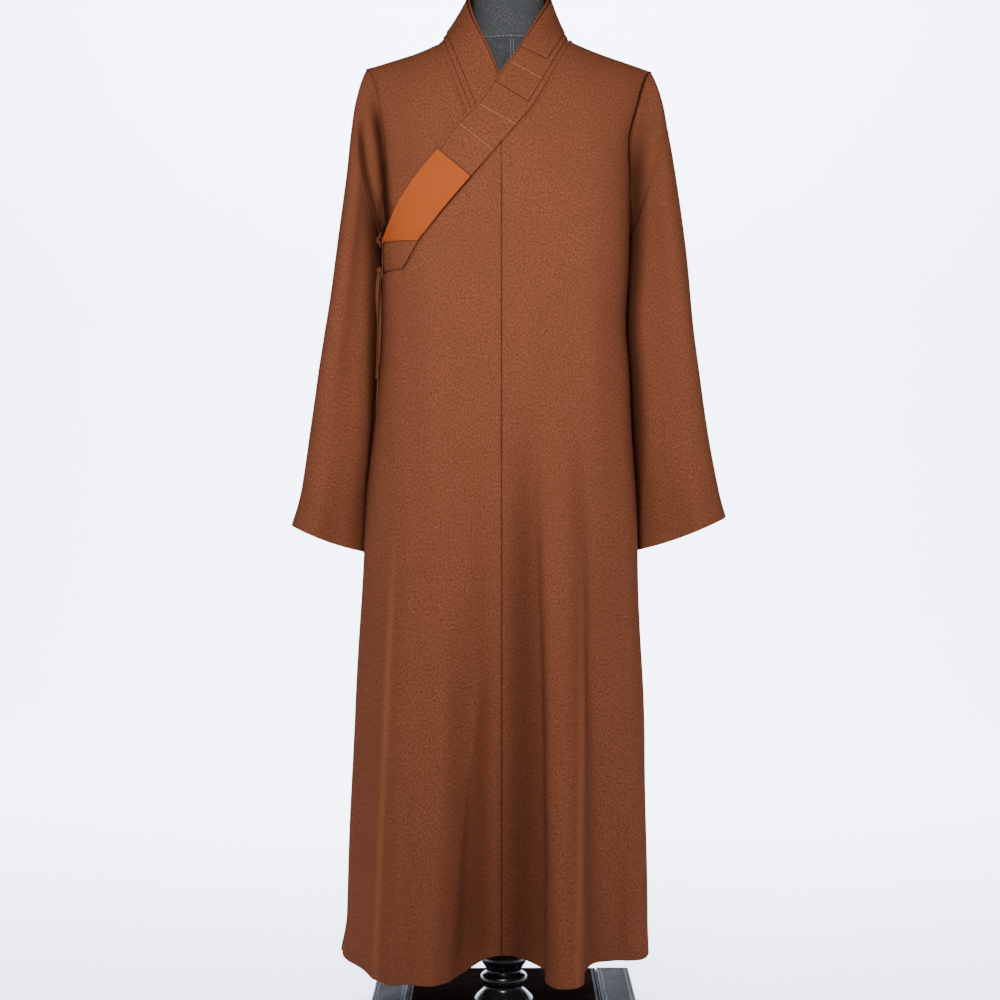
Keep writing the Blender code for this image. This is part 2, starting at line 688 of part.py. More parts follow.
def make_sleeve(name, side, table, material, collection):
    """A tube from the armhole's loop to the open cuff."""
    knots = list(range(len(table) - 1))
    rows = []
    for ring in spread(0.0, len(knots) - 1, SLEEVE_RINGS):
        value = {key: smooth(knots, column(table, key), ring) for key in table[0]}
        joined = 1 - ease(0.0, SLEEVE_JOIN, ring)
        row = []
        for step in range(SLEEVE_AROUND):
            angle = 2 * math.pi * step / SLEEVE_AROUND
            face = -1 if step < SLEEVE_AROUND / 2 else 1
            lean = (1 + math.cos(angle)) / 2
            square = value["head"] if lean > 0.5 else SLEEVE_ROUND
            depth = value["front" if face < 0 else "back"] * abs(math.sin(angle))**square
            free = Vector((value["inner_x"] + (value["outer_x"] - value["inner_x"]) * lean,
                           face * depth,
                           value["inner_z"] + (value["outer_z"] - value["inner_z"]) * lean))
            free.x *= side
            level = ARMPIT_LEVEL + (2 - ARMPIT_LEVEL) * lean
            x, z = on_row(face, level, side * armhole_turn(level))
            loop = robe_point(face, x, z)
            loop.y += -face * GAP / 2
            point = free.lerp(loop, joined)
            point.x += side * (GAP + SLEEVE_STANDS * joined)
            row.append(point)
        rows.append(row if side > 0 else row[::-1])
    shell(name, rows[::-1], WALL, material, collection, closed=True, side=1.0)


def collar_stations(start, end):
    """Every half station between two, with the ends, so that layers bend where the band does."""
    steps = [step / 2 for step in range(math.ceil(start * 2), math.floor(end * 2) + 1)]
    return sorted({start, *steps, end})


def strap(name, start, end, shares, low, high, material, collection):
    """A flat strip along the collar, between the heights low and high over its base."""
    rows = []
    for station in collar_stations(start, end):
        top = [collar_point(station, share, high) for share in shares[::-1]]
        under = [collar_point(station, share, low) for share in shares]
        rows.append(top + under)
    mesh = grid_mesh(name, rows, closed=True, folded_at=len(shares) - 1)
    close_ends(mesh)
    place(mesh, name, material, collection)


def make_collar(material, patch_material, collection):
    strap("collar_band", 0.0, COLLAR_END, COLLAR_SHARES, BAND_RISE - FOLDED, BAND_RISE,
          material, collection)
    low = BAND_RISE + LIFT
    strap("collar_patch", *PATCH, COLLAR_SHARES, low, low + LAYER, patch_material, collection)
    for layer in entries(COLLAR_LAYERS):
        shares = [share for share in COLLAR_SHARES if layer["free"] <= share <= layer["sewn"]]
        strap(layer["name"], layer["start"], layer["end"], shares, low, low + LAYER,
              material, collection)
        low += LAYER + LIFT


def make_ties(material, collection):
    """The strands hang as flat strips from a knot on the wearer's right side."""
    for strand in entries(TIE_STRANDS):
        points = strand["points"]
        knots = list(range(len(points)))
        reach = Vector(TIE_LIES) * TIE_WIDTH / 2
        rows = []
        for along in spread(0, len(points) - 1, 10):
            middle = Vector([smooth(knots, [point[axis] for point in points], along)
                             for axis in range(3)])
            rows.append([middle + reach, middle - reach])
        shell(strand["name"], rows, TIE_THICK, material, collection)
    for lump in entries(TIE_LUMPS):
        ball = bmesh.new()
        bmesh.ops.create_uvsphere(ball, u_segments=14, v_segments=8, radius=1.0)
        for vertex in ball.verts:
            vertex.co = Vector(m + c * h for m, c, h in zip(lump["middle"], vertex.co, lump["half"]))
        mesh = bpy.data.meshes.new(lump["name"])
        ball.to_mesh(mesh)
        ball.free()
        place(mesh, lump["name"], material, collection)


# ------------------------------------------------------------------ the dress form
def make_form(material, collection):
    """The form keeps clear of the robe wherever the robe goes round it."""
    heights = column(FORM, "height")
    rows = []
    for z in heights[:2] + spread(heights[2], heights[10], 8) + heights[11:]:
        value = {key: smooth(heights, column(FORM, key), z) for key in FORM[0]}
        row = []
        for step in range(FORM_AROUND):
            angle = 2 * math.pi * step / FORM_AROUND
            face = -1 if math.sin(angle) < 0 else 1
            x = value["x"] + value["half"] * math.cos(angle)
            depth = (value["front"] if face < 0 else value["back"]) * abs(math.sin(angle))
            if z < FORM_NECK:
                depth = min(depth, max(FORM_THINNEST, abs(robe_y(face, x, z)) - FORM_CLEARANCE))
            row.append(Vector((x, face * depth, z)))
        rows.append(row)
    mesh = grid_mesh("form_torso", rows, closed=True)
    close_ends(mesh)
    place(mesh, "form_torso", material, collection)


def make_post(material, collection):
    heights = column(POST, "height")
    outline = [(0.0, heights[0]), *zip(column(POST, "radius"), heights), (0.0, heights[-1])]
    profile = bmesh.new()
    verts = [profile.verts.new((radius, 0.0, height)) for radius, height in outline]
    for first, second in zip(verts, verts[1:]):
        profile.edges.new((first, second))
    mesh = bpy.data.meshes.new("form_post")
    profile.to_mesh(mesh)
    profile.free()
    post = place(mesh, "form_post", material, collection)
    turn = post.modifiers.new("turn", "SCREW")
    turn.axis = "Z"
    turn.steps = POST_STEPS
    turn.render_steps = POST_STEPS
    turn.use_merge_vertices = True
    turn.merge_threshold = 0.0001


def make_box(name, low, high, bevel, material, collection):
    box = bmesh.new()
    bmesh.ops.create_cube(box, size=1.0)
    for vertex in box.verts:
        vertex.co = Vector((lo + (hi - lo) * (c + 0.5) for c, lo, hi in zip(vertex.co, low, high)))
    mesh = bpy.data.meshes.new(name)
    box.to_mesh(mesh)
    box.free()
    item = place(mesh, name, material, collection)
    item.data.shade_flat()
    edge = item.modifiers.new("edge", "BEVEL")
    edge.width = bevel
    edge.segments = 1
    edge.limit_method = "ANGLE"


def make_base(material, collection):
    half = BASE_SIZE / 2
    inner = half - RAIL_WIDTH
    front, back = BASE_Y - half, BASE_Y + half
    make_box("base_board", (-inner + GAP, front, 0.0), (inner - GAP, back, BASE_HEIGHT - GAP),
             BOARD_BEVEL, material, collection)
    make_box("base_rail_right", (-half, front, 0.0), (-inner, back, BASE_HEIGHT), BASE_BEVEL,
             material, collection)
    make_box("base_rail_left", (inner, front, 0.0), (half, back, BASE_HEIGHT), BASE_BEVEL,
             material, collection)


def main():
    clear_scene()
    collection = new_collection(NAME)
    wool = new_material("robe_wool", WOOL, 0.92, 0.3)
    orange = new_material("patch_cloth", ORANGE, 0.85, 0.2)
    charcoal = new_material("form_cloth", CHARCOAL, 0.9, 0.2)
    lacquer = new_material("post_lacquer", LACQUER, 0.15)
    stain = new_material("base_stain", STAIN, 0.35)
    make_front_left(wool, collection)
    make_front_overlap(wool, collection)
    make_front_under(wool, collection)
    make_back(wool, collection)
    make_sleeve("sleeve_left", 1, SLEEVE_LEFT, wool, collection)
    make_sleeve("sleeve_right", -1, SLEEVE_RIGHT, wool, collection)
    make_collar(wool, orange, collection)
    make_ties(wool, collection)
    make_form(charcoal, collection)
    make_post(lacquer, collection)
    make_base(stain, collection)


main()
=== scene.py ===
"""Looks of a long Buddhist monk's robe on a limbless dress form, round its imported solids.

+X is the wearer's left, -Y the front and +Z up.  Sizes are metres.  Each table starts with a
row that names its columns.
"""
import math

import bmesh
import bpy
import numpy as np
from bpy.props import FloatProperty, FloatVectorProperty, IntProperty, PointerProperty
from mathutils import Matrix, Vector


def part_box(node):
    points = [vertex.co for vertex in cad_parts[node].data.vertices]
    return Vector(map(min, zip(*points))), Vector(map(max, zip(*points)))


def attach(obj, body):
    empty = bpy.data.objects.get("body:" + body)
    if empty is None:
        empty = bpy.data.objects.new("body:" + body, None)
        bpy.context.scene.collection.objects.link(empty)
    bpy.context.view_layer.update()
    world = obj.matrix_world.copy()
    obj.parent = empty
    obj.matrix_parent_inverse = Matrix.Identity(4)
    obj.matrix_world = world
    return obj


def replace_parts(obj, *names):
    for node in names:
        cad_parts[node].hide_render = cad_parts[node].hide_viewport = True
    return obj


bl_info = {
    "name": "Monk's Robe on a Dress Form",
    "version": (1, 0, 0),
    "blender": (4, 5, 0),
    "location": "3D Viewport > Sidebar > Robe",
    "description": "Builds the robe's cloth, its sewing, the dress form and the stage",
    "category": "Object",
}

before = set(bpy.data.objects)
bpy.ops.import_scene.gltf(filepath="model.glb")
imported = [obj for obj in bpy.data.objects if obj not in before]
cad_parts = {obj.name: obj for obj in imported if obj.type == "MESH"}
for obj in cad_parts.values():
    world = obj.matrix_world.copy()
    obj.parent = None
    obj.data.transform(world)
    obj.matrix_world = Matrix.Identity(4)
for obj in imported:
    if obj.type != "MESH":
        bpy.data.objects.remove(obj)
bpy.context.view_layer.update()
BODY_NAME = "root"

# ------------------------------------------------------------------ the robe's sizes
WALL = 0.0018            # one thickness of the robe's wool
FOLDED = 0.0022          # the collar band, which is folded cloth
LAYER = 0.0015           # each layer sewn on the collar
HEM = 0.120              # height of the hem above the floor
ROLL = 1.250             # where front and back start to roll over towards the shoulder
ROLL_SQUARE = 2.2        # of the roll over the shoulder: 2 is an ellipse
ARMPIT = 1.200           # height of the armholes' low ends
SEAM_X = -0.0035         # the centre-front seam
BACK_SEAM_X = 0.0040     # the centre-back seam
UNDER_EDGE_X = 0.030     # free edge of the inner right front
UNDER_HEM_RISE = 0.018   # its hem is this much higher than the outer hem
UNDER_SWEEP = (0.08, 0.02)       # its free edge sweeps in between these depths under its collar
UNDER_SEAM_EASE = 0.035  # it comes up to the outer layer over this distance at the armhole
ARMHOLE_SWEEP = 19.0     # degrees of the section that the sleeve takes, front and back
ARMHOLE_ROUND = 0.6      # of the armhole's outline: 1 is a plain arch, and less is squarer
SLEEVE_ROUND = 0.7       # of a sleeve's section: 1 is an ellipse, and less is squarer
FOLD_FADE = 1.6          # the folds die out where the section is rounder than 1 / this
BAND_RISE = 0.0006       # the band stands this much proud of the fronts
LIFT = 0.0002            # between layers that lie on each other
TUCK = 0.0034            # a panel's edge dips this much to go under the collar
TUCK_WIDTH = 0.006
NECK_TUCK = 0.0009       # and only this much where the collar stands up round the neck
NECK_TUCK_RISE = (1.375, 1.450)  # it changes to that between these heights
SEAM_DIP = 0.0013        # the cloth dips into its seams
SEAM_DIP_WIDTH = 0.0030
ARMHOLE_DIP = 0.0024     # and deeper into the armholes' seams
ARMHOLE_DIP_WIDTH = 0.006
ARMPIT_LEVEL = (ARMPIT - HEM) / (ROLL - HEM)     # as row_height counts its levels

BODY = (
    ("height", "right", "left", "front", "back", "square"),
    (0.120, 0.2440, 0.2185, 0.150, 0.160, 2.4),
    (0.170, 0.2360, 0.2160, 0.150, 0.158, 2.4),
    (0.360, 0.2285, 0.2125, 0.148, 0.152, 2.4),
    (0.500, 0.2205, 0.2095, 0.144, 0.144, 2.4),
    (0.665, 0.2115, 0.2020, 0.137, 0.135, 2.4),
    (0.800, 0.2035, 0.1970, 0.131, 0.126, 2.5),
    (0.900, 0.1940, 0.1900, 0.126, 0.120, 2.6),
    (0.985, 0.1880, 0.1850, 0.123, 0.116, 2.7),
    (1.060, 0.1830, 0.1795, 0.121, 0.114, 2.8),
    (1.140, 0.1815, 0.1850, 0.119, 0.112, 2.9),
    (1.200, 0.1815, 0.1870, 0.117, 0.110, 3.0),
    (1.270, 0.1820, 0.1880, 0.115, 0.108, 3.0),
    (1.330, 0.1860, 0.1920, 0.114, 0.106, 3.0),
    (1.380, 0.1960, 0.2085, 0.113, 0.105, 3.0),
    (1.442, 0.2070, 0.2220, 0.112, 0.104, 3.0),
)
RIDGE = (
    ("x", "front", "back"),
    (-0.207, 1.4415, 1.4415),
    (-0.163, 1.4550, 1.4550),
    (-0.120, 1.4690, 1.4690),
    (-0.096, 1.4790, 1.4810),
    (-0.060, 1.4960, 1.5350),
    (0.004, 1.5100, 1.5600),
    (0.068, 1.4960, 1.5350),
    (0.104, 1.4790, 1.4810),
    (0.139, 1.4645, 1.4645),
    (0.177, 1.4515, 1.4515),
    (0.222, 1.4370, 1.4370),
)
RIDGE_Y = 0.004          # the shoulder's ridge lies this far back
FRONT_FOLDS = (
    ("top", "top_x", "hem_x", "right", "left", "flat", "out"),
    (0.900, -0.150, -0.170, 0.046, 0.034, 0.000, 0.022),
    (0.860, -0.100, -0.128, 0.100, 0.068, 0.020, 0.068),
    (0.980, 0.012, -0.004, 0.072, 0.066, 0.012, -0.056),
    (0.960, 0.080, 0.087, 0.060, 0.042, 0.004, 0.078),
    (0.900, 0.135, 0.152, 0.046, 0.070, 0.010, -0.048),
)
BACK_FOLDS = (
    ("top", "top_x", "hem_x", "right", "left", "flat", "out"),
    (0.900, -0.120, -0.140, 0.060, 0.060, 0.000, 0.034),
    (0.820, -0.055, -0.062, 0.050, 0.050, 0.000, -0.022),
    (0.960, 0.004, 0.004, 0.085, 0.085, 0.010, 0.024),
    (0.820, 0.058, 0.066, 0.050, 0.050, 0.000, -0.022),
    (0.900, 0.118, 0.138, 0.060, 0.060, 0.000, 0.034),
)
# Sharp creases between the large folds: gentle on the right of the line and steep on its left.
# The last column pales the cloth along a crease's line: worn nap and a painted highlight on the crest.
CREASES = (
    ("face", "top", "top_x", "middle_x", "hem_x", "right", "left", "out", "rub"),
    (-1, 0.820, -0.156, -0.171, -0.184, 0.030, 0.011, 0.0065, 0.26),
    (-1, 0.620, -0.014, -0.060, -0.086, 0.060, 0.034, 0.0085, 0.00),
    (-1, 1.000, 0.043, 0.046, 0.045, 0.060, 0.017, -0.0185, 0.00),
    (-1, 0.780, 0.112, 0.110, 0.103, 0.036, 0.015, 0.0105, 0.26),
    (-1, 1.060, 0.080, 0.082, 0.084, 0.032, 0.026, 0.0030, 0.00),
    (-1, 0.700, 0.160, 0.172, 0.184, 0.024, 0.016, 0.0050, 0.00),
    (1, 0.700, -0.084, -0.096, -0.110, 0.014, 0.040, 0.0090, 0.35),
    (1, 0.560, -0.030, -0.034, -0.038, 0.030, 0.012, 0.0070, 0.00),
    (1, 0.620, 0.030, 0.026, 0.028, 0.012, 0.014, -0.0070, 0.00),
    (1, 0.760, 0.088, 0.100, 0.112, 0.040, 0.012, 0.0090, 0.35),
)
CREASE_GROWTH = 0.8      # of a crease's depth on its way down: less is faster
CREASE_ROUND = 0.0016    # radius of its edge
RUB_WIDTH = 0.0080       # the nap is rubbed pale, with a painted highlight, this far on each side of a pressed crease
RUB_START = 0.35         # and the rubbing and its painted highlight reach their full strength at this share of its length
INNER_SHADE = 0.85        # painted shade on a sleeve's inner side, beside the body
INNER_WIDTH = (0.030, 0.008)     # it ends between these distances from the body's side
INNER_NARROW = (0.009, 0.003)    # or these, from "wide" down to "narrow" in SLEEVE_HANG
INNER_HEAD_Z = (1.16, 1.24)      # behind the head it fades out up these heights
INNER_HEAD_Y = (-0.01, 0.02)     # and back through these depths
# Painted shade on the front and the back, in the bottom of the large folds.
FOLD_SHADE = (
    ("face", "top", "top_x", "hem_x", "right", "left", "dark"),
    (-1, 1.000, 0.030, 0.022, 0.040, 0.034, 0.50),
    (1, 0.800, -0.060, -0.066, 0.034, 0.034, 0.25),
    (1, 0.800, 0.062, 0.070, 0.034, 0.034, 0.25),
)
FOLD_SHADE_START = 0.4      # as RUB_START
FOLD_GROWTH = 1.25       # as CREASE_GROWTH, for the large folds
HEM_RISE = 0.014         # the hem lifts this much in the middle of the front valley
HEM_RISE_REACH = 0.075   # and comes down again over this distance to each side
UNDER = (
    ("height", "depth"),
    (0.120, 0.0110),
    (0.500, 0.0090),
    (0.900, 0.0060),
    (1.200, 0.0046),
    (1.335, 0.0066),
    (1.410, 0.0066),
    (1.450, 0.0030),
    (1.479, 0.0000),
)

# The collar from its hidden inner end, round the neck, to its tail.
COLLAR = (
    ("neck_x", "neck_y", "neck_z", "sewn_x", "sewn_z", "stand"),
    (0.0130, -0.094, 1.3740, -0.0485, 1.3475, 0.0),
    (-0.0065, -0.087, 1.4235, -0.0693, 1.4003, 0.1),
    (-0.0220, -0.072, 1.4625, -0.0840, 1.4398, 0.6),
    (-0.0311, -0.062, 1.4807, -0.0912, 1.4610, 1.0),
    (-0.0439, -0.042, 1.5110, -0.0960, 1.4785, 1.0),
    (-0.0510, -0.006, 1.5440, -0.0900, 1.4830, 1.0),
    (-0.0400, 0.040, 1.5570, -0.0580, 1.4820, 1.0),
    (0.0065, 0.059, 1.5620, 0.0040, 1.4830, 1.0),
    (0.0540, 0.040, 1.5570, 0.0660, 1.4820, 1.0),
    (0.0655, -0.006, 1.5445, 0.0950, 1.4835, 1.0),
    (0.0459, -0.042, 1.5057, 0.0985, 1.4765, 1.0),
    (0.0229, -0.068, 1.4636, 0.0783, 1.4363, 0.8),
    (-0.0138, -0.090, 1.4106, 0.0436, 1.3738, 0.1),
    (-0.0377, -0.098, 1.3756, 0.0188, 1.3434, 0.0),
    (-0.0679, -0.105, 1.3448, -0.0159, 1.3022, 0.0),
    (-0.0955, -0.105, 1.3068, -0.0477, 1.2660, 0.0),
    (-0.1246, -0.100, 1.2722, -0.0794, 1.2295, 0.0),
    (-0.1506, -0.080, 1.2355, -0.0980, 1.2068, 0.0),
    (-0.1657, -0.060, 1.2054, -0.1128, 1.1882, 0.0),
    (-0.1765, -0.045, 1.1771, -0.1239, 1.1746, 0.0),
    (-0.1765, -0.045, 1.1340, -0.1478, 1.1345, 0.0),
)
RIGHT_NECK_STATION = 4.6         # where the collar passes the shoulder ridge
LEFT_NECK_STATION = 9.5
COLLAR_END = 20.0                # the station of its tail
SEAM_STATION = 14.6              # where its sewn edge passes the centre-front seam
COLLAR_LAYERS = (
    ("name", "start", "end", "free", "sewn"),
    ("collar_middle_layer", 0.25, 12.05, 0.06, 0.87),
    ("collar_top_layer", 0.35, 11.05, 0.06, 0.74),
)
PATCH = (15.0, 19.0)             # the orange patch, from station to station
PATCH_RIM = 0.0006               # its rolled edge stands up this much
PALE_ROWS = (                    # rows of pale sewing across the collar
    ("station", "first", "last", "layers"),
    (11.48, 0.10, 0.85, 1),
    (13.05, 0.07, 0.99, 0),
    (13.98, 0.07, 0.99, 0),
)

# "head" is the outer half's own SLEEVE_ROUND, which is squarer over the shoulder.
SLEEVE_LEFT = (
    ("outer_x", "outer_z", "inner_x", "inner_z", "front", "back", "head"),
    (0.2220, 1.4370, 0.1880, 1.2000, 0.046, 0.046, 0.40),
    (0.2345, 1.3980, 0.1905, 1.1850, 0.048, 0.050, 0.40),
    (0.2420, 1.3500, 0.1920, 1.1650, 0.052, 0.052, 0.42),
    (0.2540, 1.2750, 0.1915, 1.1200, 0.061, 0.060, 0.48),
    (0.2745, 1.1490, 0.1875, 1.0400, 0.063, 0.062, 0.56),
    (0.2890, 1.0320, 0.1905, 0.9500, 0.062, 0.061, 0.64),
    (0.3040, 0.9150, 0.1970, 0.8600, 0.060, 0.059, 0.70),
    (0.3215, 0.8190, 0.2030, 0.7800, 0.056, 0.056, 0.70),
    (0.3310, 0.7720, 0.2070, 0.7180, 0.053, 0.054, 0.70),
)
SLEEVE_RIGHT = (
    ("outer_x", "outer_z", "inner_x", "inner_z", "front", "back", "head"),
    (0.2070, 1.4415, 0.1820, 1.2000, 0.046, 0.046, 0.40),
    (0.2195, 1.3980, 0.1860, 1.1850, 0.048, 0.050, 0.40),
    (0.2260, 1.3500, 0.1880, 1.1650, 0.052, 0.052, 0.42),
    (0.2315, 1.2750, 0.1880, 1.1200, 0.061, 0.060, 0.48),
    (0.2500, 1.1490, 0.1900, 1.0400, 0.063, 0.062, 0.56),
    (0.2680, 1.0320, 0.1960, 0.9500, 0.062, 0.061, 0.64),
    (0.2840, 0.9150, 0.2030, 0.8600, 0.060, 0.059, 0.70),
    (0.3010, 0.8180, 0.2110, 0.7800, 0.056, 0.056, 0.70),
    (0.3165, 0.7600, 0.2130, 0.7150, 0.053, 0.054, 0.70),
)
# Folds beside the right armhole that run down into the armpit, and the pieces they are in.  "dark" is the
# painted shade along each fold.
ARMHOLE_FOLDS = (
    ("pieces", "top_x", "top_z", "low_x", "low_z", "curve", "reach", "deep", "dark"),
    (("sleeve_right",), -0.2114, 1.3710, -0.1830, 1.2000, 2.00, 0.0085, 0.0040, 0.80),
    (("sleeve_right", "front_under"), -0.2030, 1.4030, -0.1715, 1.2080, 0.50, 0.0125, 0.0020, 1.00),
)
ARMHOLE_FOLD_START = 0.3         # as RUB_START
ARMHOLE_FOLD_END = 0.03          # they end this far below their low ends
SLEEVE_JOIN = 1.6                # table rows over which a sleeve leaves the armhole's outline
SLEEVE_BACK_TROUGH = 0.006       # SLEEVE_HANG's "trough" at the back of a sleeve
SLEEVE_CLEARANCE = 0.0045        # a sleeve keeps this far from the body beside it
# How each sleeve hangs beside the body.  Its inner edge lies back, behind the body's side.
# "trough" and "crease" are hollows below the shoulder, "fill" a swelling in front of it, and the
# last four are heights at which its inner side has painted shade and that shade is wide or narrow.
SLEEVE_HANG = (
    ("side", "fill", "trough", "crease", "inner_back", "inner_in", "dark_top", "dark_below",
     "wide", "narrow"),
    ("left", 0.010, 0.006, 0.010, 0.060, 0.0200, 1.390, 1.270, 0.94, 0.74),
    ("right", 0.000, 0.012, 0.006, 0.060, 0.0200, 1.270, 1.190, 1.12, 0.84),
)

# The cloth-covered form, from its flat foot to its flat top.
FORM = (
    ("height", "x", "half", "front", "back"),
    (0.7700, 0.000, 0.1400, 0.082, 0.082),
    (0.7760, 0.000, 0.1500, 0.090, 0.090),
    (0.8200, 0.000, 0.1570, 0.097, 0.096),
    (0.8900, 0.000, 0.1560, 0.098, 0.098),
    (0.9700, 0.001, 0.1440, 0.090, 0.090),
    (1.0400, 0.002, 0.1380, 0.086, 0.084),
    (1.1100, 0.003, 0.1440, 0.092, 0.086),
    (1.1800, 0.003, 0.1560, 0.100, 0.090),
    (1.2500, 0.004, 0.1640, 0.103, 0.092),
    (1.3100, 0.005, 0.1660, 0.099, 0.090),
    (1.3600, 0.006, 0.1760, 0.088, 0.084),
    (1.4000, 0.007, 0.1900, 0.078, 0.076),
    (1.4200, 0.007, 0.1930, 0.071, 0.070),
    (1.4320, 0.007, 0.1880, 0.065, 0.065),
    (1.4420, 0.007, 0.1650, 0.060, 0.061),
    (1.4520, 0.007, 0.1330, 0.056, 0.058),
    (1.4620, 0.007, 0.1050, 0.053, 0.056),
    (1.4740, 0.007, 0.0800, 0.051, 0.054),
    (1.4900, 0.007, 0.0630, 0.050, 0.053),
    (1.5120, 0.007, 0.0555, 0.049, 0.052),
    (1.5450, 0.007, 0.0525, 0.048, 0.051),
    (1.5900, 0.007, 0.0520, 0.048, 0.051),
    (1.6000, 0.007, 0.0500, 0.046, 0.049),
    (1.6050, 0.007, 0.0450, 0.041, 0.044),
)
FORM_CLEARANCE = 0.0125  # the form keeps this far inside the robe's surface
FORM_THINNEST = 0.003    # half depth that the form keeps at its sides

# The turned post, down its outer side.
POST = (
    ("radius", "height"),
    (0.0170, 0.7690),
    (0.0170, 0.1900),
    (0.0200, 0.1600),
    (0.0255, 0.1350),
    (0.0330, 0.1160),
    (0.0345, 0.1100),
    (0.0330, 0.1035),
    (0.0290, 0.0975),
    (0.0270, 0.0920),
    (0.0290, 0.0875),
    (0.0335, 0.0845),
    (0.0350, 0.0790),
    (0.0335, 0.0735),
    (0.0290, 0.0700),
    (0.0300, 0.0640),
    (0.0380, 0.0560),
    (0.0440, 0.0490),
    (0.0440, 0.0453),
)
BASE_HEIGHT = 0.045

TIE_WIDTH = 0.0055       # of a flat strand
TIE_THICK = 0.0014
TIE_FACING = -56.0       # degrees that its width is turned from +X, and it sways round that
TIE_DARK = 0.35          # the ties are darkened this much
# The knot and its tab are strands wound round a middle, so many turns down their height.
TIE_COILS = (
    ("name", "middle", "across", "high", "turns"),
    ("tie_knot", (-0.1830, -0.0540, 1.1360), 0.0042, 0.0050, 3.0),
    ("tie_tab", (-0.1832, -0.0480, 1.1815), 0.0045, 0.0120, 1.0),
)
TIE_STRANDS = (
    ("name", "turns", "points"),
    ("tie_strand_front", 34.0, ((-0.1842, -0.0560, 1.1330), (-0.1862, -0.0575, 1.1000),
                                (-0.1858, -0.0560, 1.0500), (-0.1875, -0.0570, 0.9770))),
    ("tie_strand_back", -30.0, ((-0.1812, -0.0520, 1.1330), (-0.1822, -0.0510, 1.1050),
                                (-0.1826, -0.0500, 1.0550), (-0.1850, -0.0500, 0.9950))),
)


# ------------------------------------------------------------------ small helpers
def column(table, name):
    """One named column of a table, without its heading, as an array."""
    place = table[0].index(name)
    return np.array([row[place] for row in table[1:]])


def entries(table):
    """A table's rows, each as a dictionary with the table's names."""
    return [dict(zip(table[0], row)) for row in table[1:]]


def smooth(keys, values, key):
    """A smooth curve through (keys, values), with keys rising, held level past its ends."""
    keys, values = np.asarray(keys, float), np.asarray(values, float)
    last = len(keys) - 1
    low, high = np.maximum(np.arange(last + 1) - 1, 0), np.minimum(np.arange(last + 1) + 1, last)
    slopes = (values[high] - values[low]) / (keys[high] - keys[low])
    key = np.clip(key, keys[0], keys[-1])
    i = np.clip(np.searchsorted(keys, key, side="right") - 1, 0, last - 1)
    span = keys[i + 1] - keys[i]
    t = (key - keys[i]) / span
    return ((2 * t**3 - 3 * t**2 + 1) * values[i] + (t**3 - 2 * t**2 + t) * span * slopes[i]
            + (3 * t**2 - 2 * t**3) * values[i + 1] + (t**3 - t**2) * span * slopes[i + 1])


def look_up(table, key_name, name, key):
    """Smooth values from a table: column `name` where column `key_name` is `key`."""
    return smooth(column(table, key_name), column(table, name), key)


def ease(low, high, value):
    """0 below low, 1 above high, and a soft S between."""
    t = np.clip((value - low) / (high - low), 0.0, 1.0)
    return t * t * (3 - 2 * t)


def hump(value, middle, reach):
    """1 at the middle, falling softly to 0 at `reach` each side."""
    return np.cos(np.clip((value - middle) / reach, -1, 1) * math.pi / 2)**2


def unit(vectors):
    return vectors / np.maximum(np.linalg.norm(vectors, axis=-1, keepdims=True), 1e-12)


def joined(*axes):
    """One array of points from their X, Y and Z, which may differ in shape."""
    return np.stack(np.broadcast_arrays(*axes), -1)


def ring_angles(sides):
    return np.linspace(0, 2 * math.pi, sides, endpoint=False)


# ------------------------------------------------------------------ the robe's surface
def half_width(sign, z):
    """Half width of the body at a height, on the side that sign points to."""
    return np.where(sign > 0, look_up(BODY, "height", "left", z), look_up(BODY, "height", "right", z))


def fold_depth(folds, x, z):
    """How far the folds push the cloth out at (x, z)."""
    total = np.zeros(np.broadcast(x, z).shape)
    for fold in entries(folds):
        down = np.maximum(0.0, (fold["top"] - z) / (fold["top"] - HEM))
        crest = fold["top_x"] + (fold["hem_x"] - fold["top_x"]) * down
        reach = np.where(x > crest, fold["left"], fold["right"])
        away = np.clip((np.abs(x - crest) - fold["flat"]) / (reach - fold["flat"]), 0, 1)
        total = total + fold["out"] * down**FOLD_GROWTH * np.cos(away * math.pi / 2)**2
    return total


def ridge_height(face, x):
    return look_up(RIDGE, "x", "front" if face < 0 else "back", x)


def rolled_over(face, x, z):
    """How far up the roll to the shoulder's ridge a place is, from 0 to 1."""
    return np.clip((z - ROLL) / (ridge_height(face, x) - ROLL), 0, 1)


def robe_y(face, x, z):
    """The robe's outer surface as a depth: face -1 is the front and 1 the back."""
    share = np.minimum(1.0, np.abs(x) / half_width(x, z))
    square = look_up(BODY, "height", "square", z)
    round_off = np.maximum(0.0, 1 - share**square)**(1 / square)
    depth = look_up(BODY, "height", "front" if face < 0 else "back", z) * round_off
    folds = FRONT_FOLDS if face < 0 else BACK_FOLDS
    depth = depth + fold_depth(folds, x, z) * np.minimum(1.0, FOLD_FADE * round_off)
    roll = rolled_over(face, x, z)
    return RIDGE_Y * roll + face * depth * (1 - roll**ROLL_SQUARE)**(1 / ROLL_SQUARE)


def robe_point(face, x, z, out=0.0):
    """Points on the robe's surface, moved out of it along its normal."""
    step = 0.0005
    x, z = np.broadcast_arrays(np.asarray(x, float), np.asarray(z, float))
    inward = np.where(x > 0, -step, step)
    y = robe_y(face, x, z)
    across = (robe_y(face, x + inward, z) - y) / inward
    up = (robe_y(face, x, z + step) - robe_y(face, x, z - step)) / (2 * step)
    normal = unit(joined(-face * across, float(face), -face * up))
    return joined(x, y, z) + normal * np.asarray(out)[..., None]


def hem_height(face, x):
    """The hem is level but for its rise in the front valley."""
    if face > 0:
        return np.full(np.shape(x), HEM)
    return HEM + HEM_RISE * hump(x, 0.0, HEM_RISE_REACH)


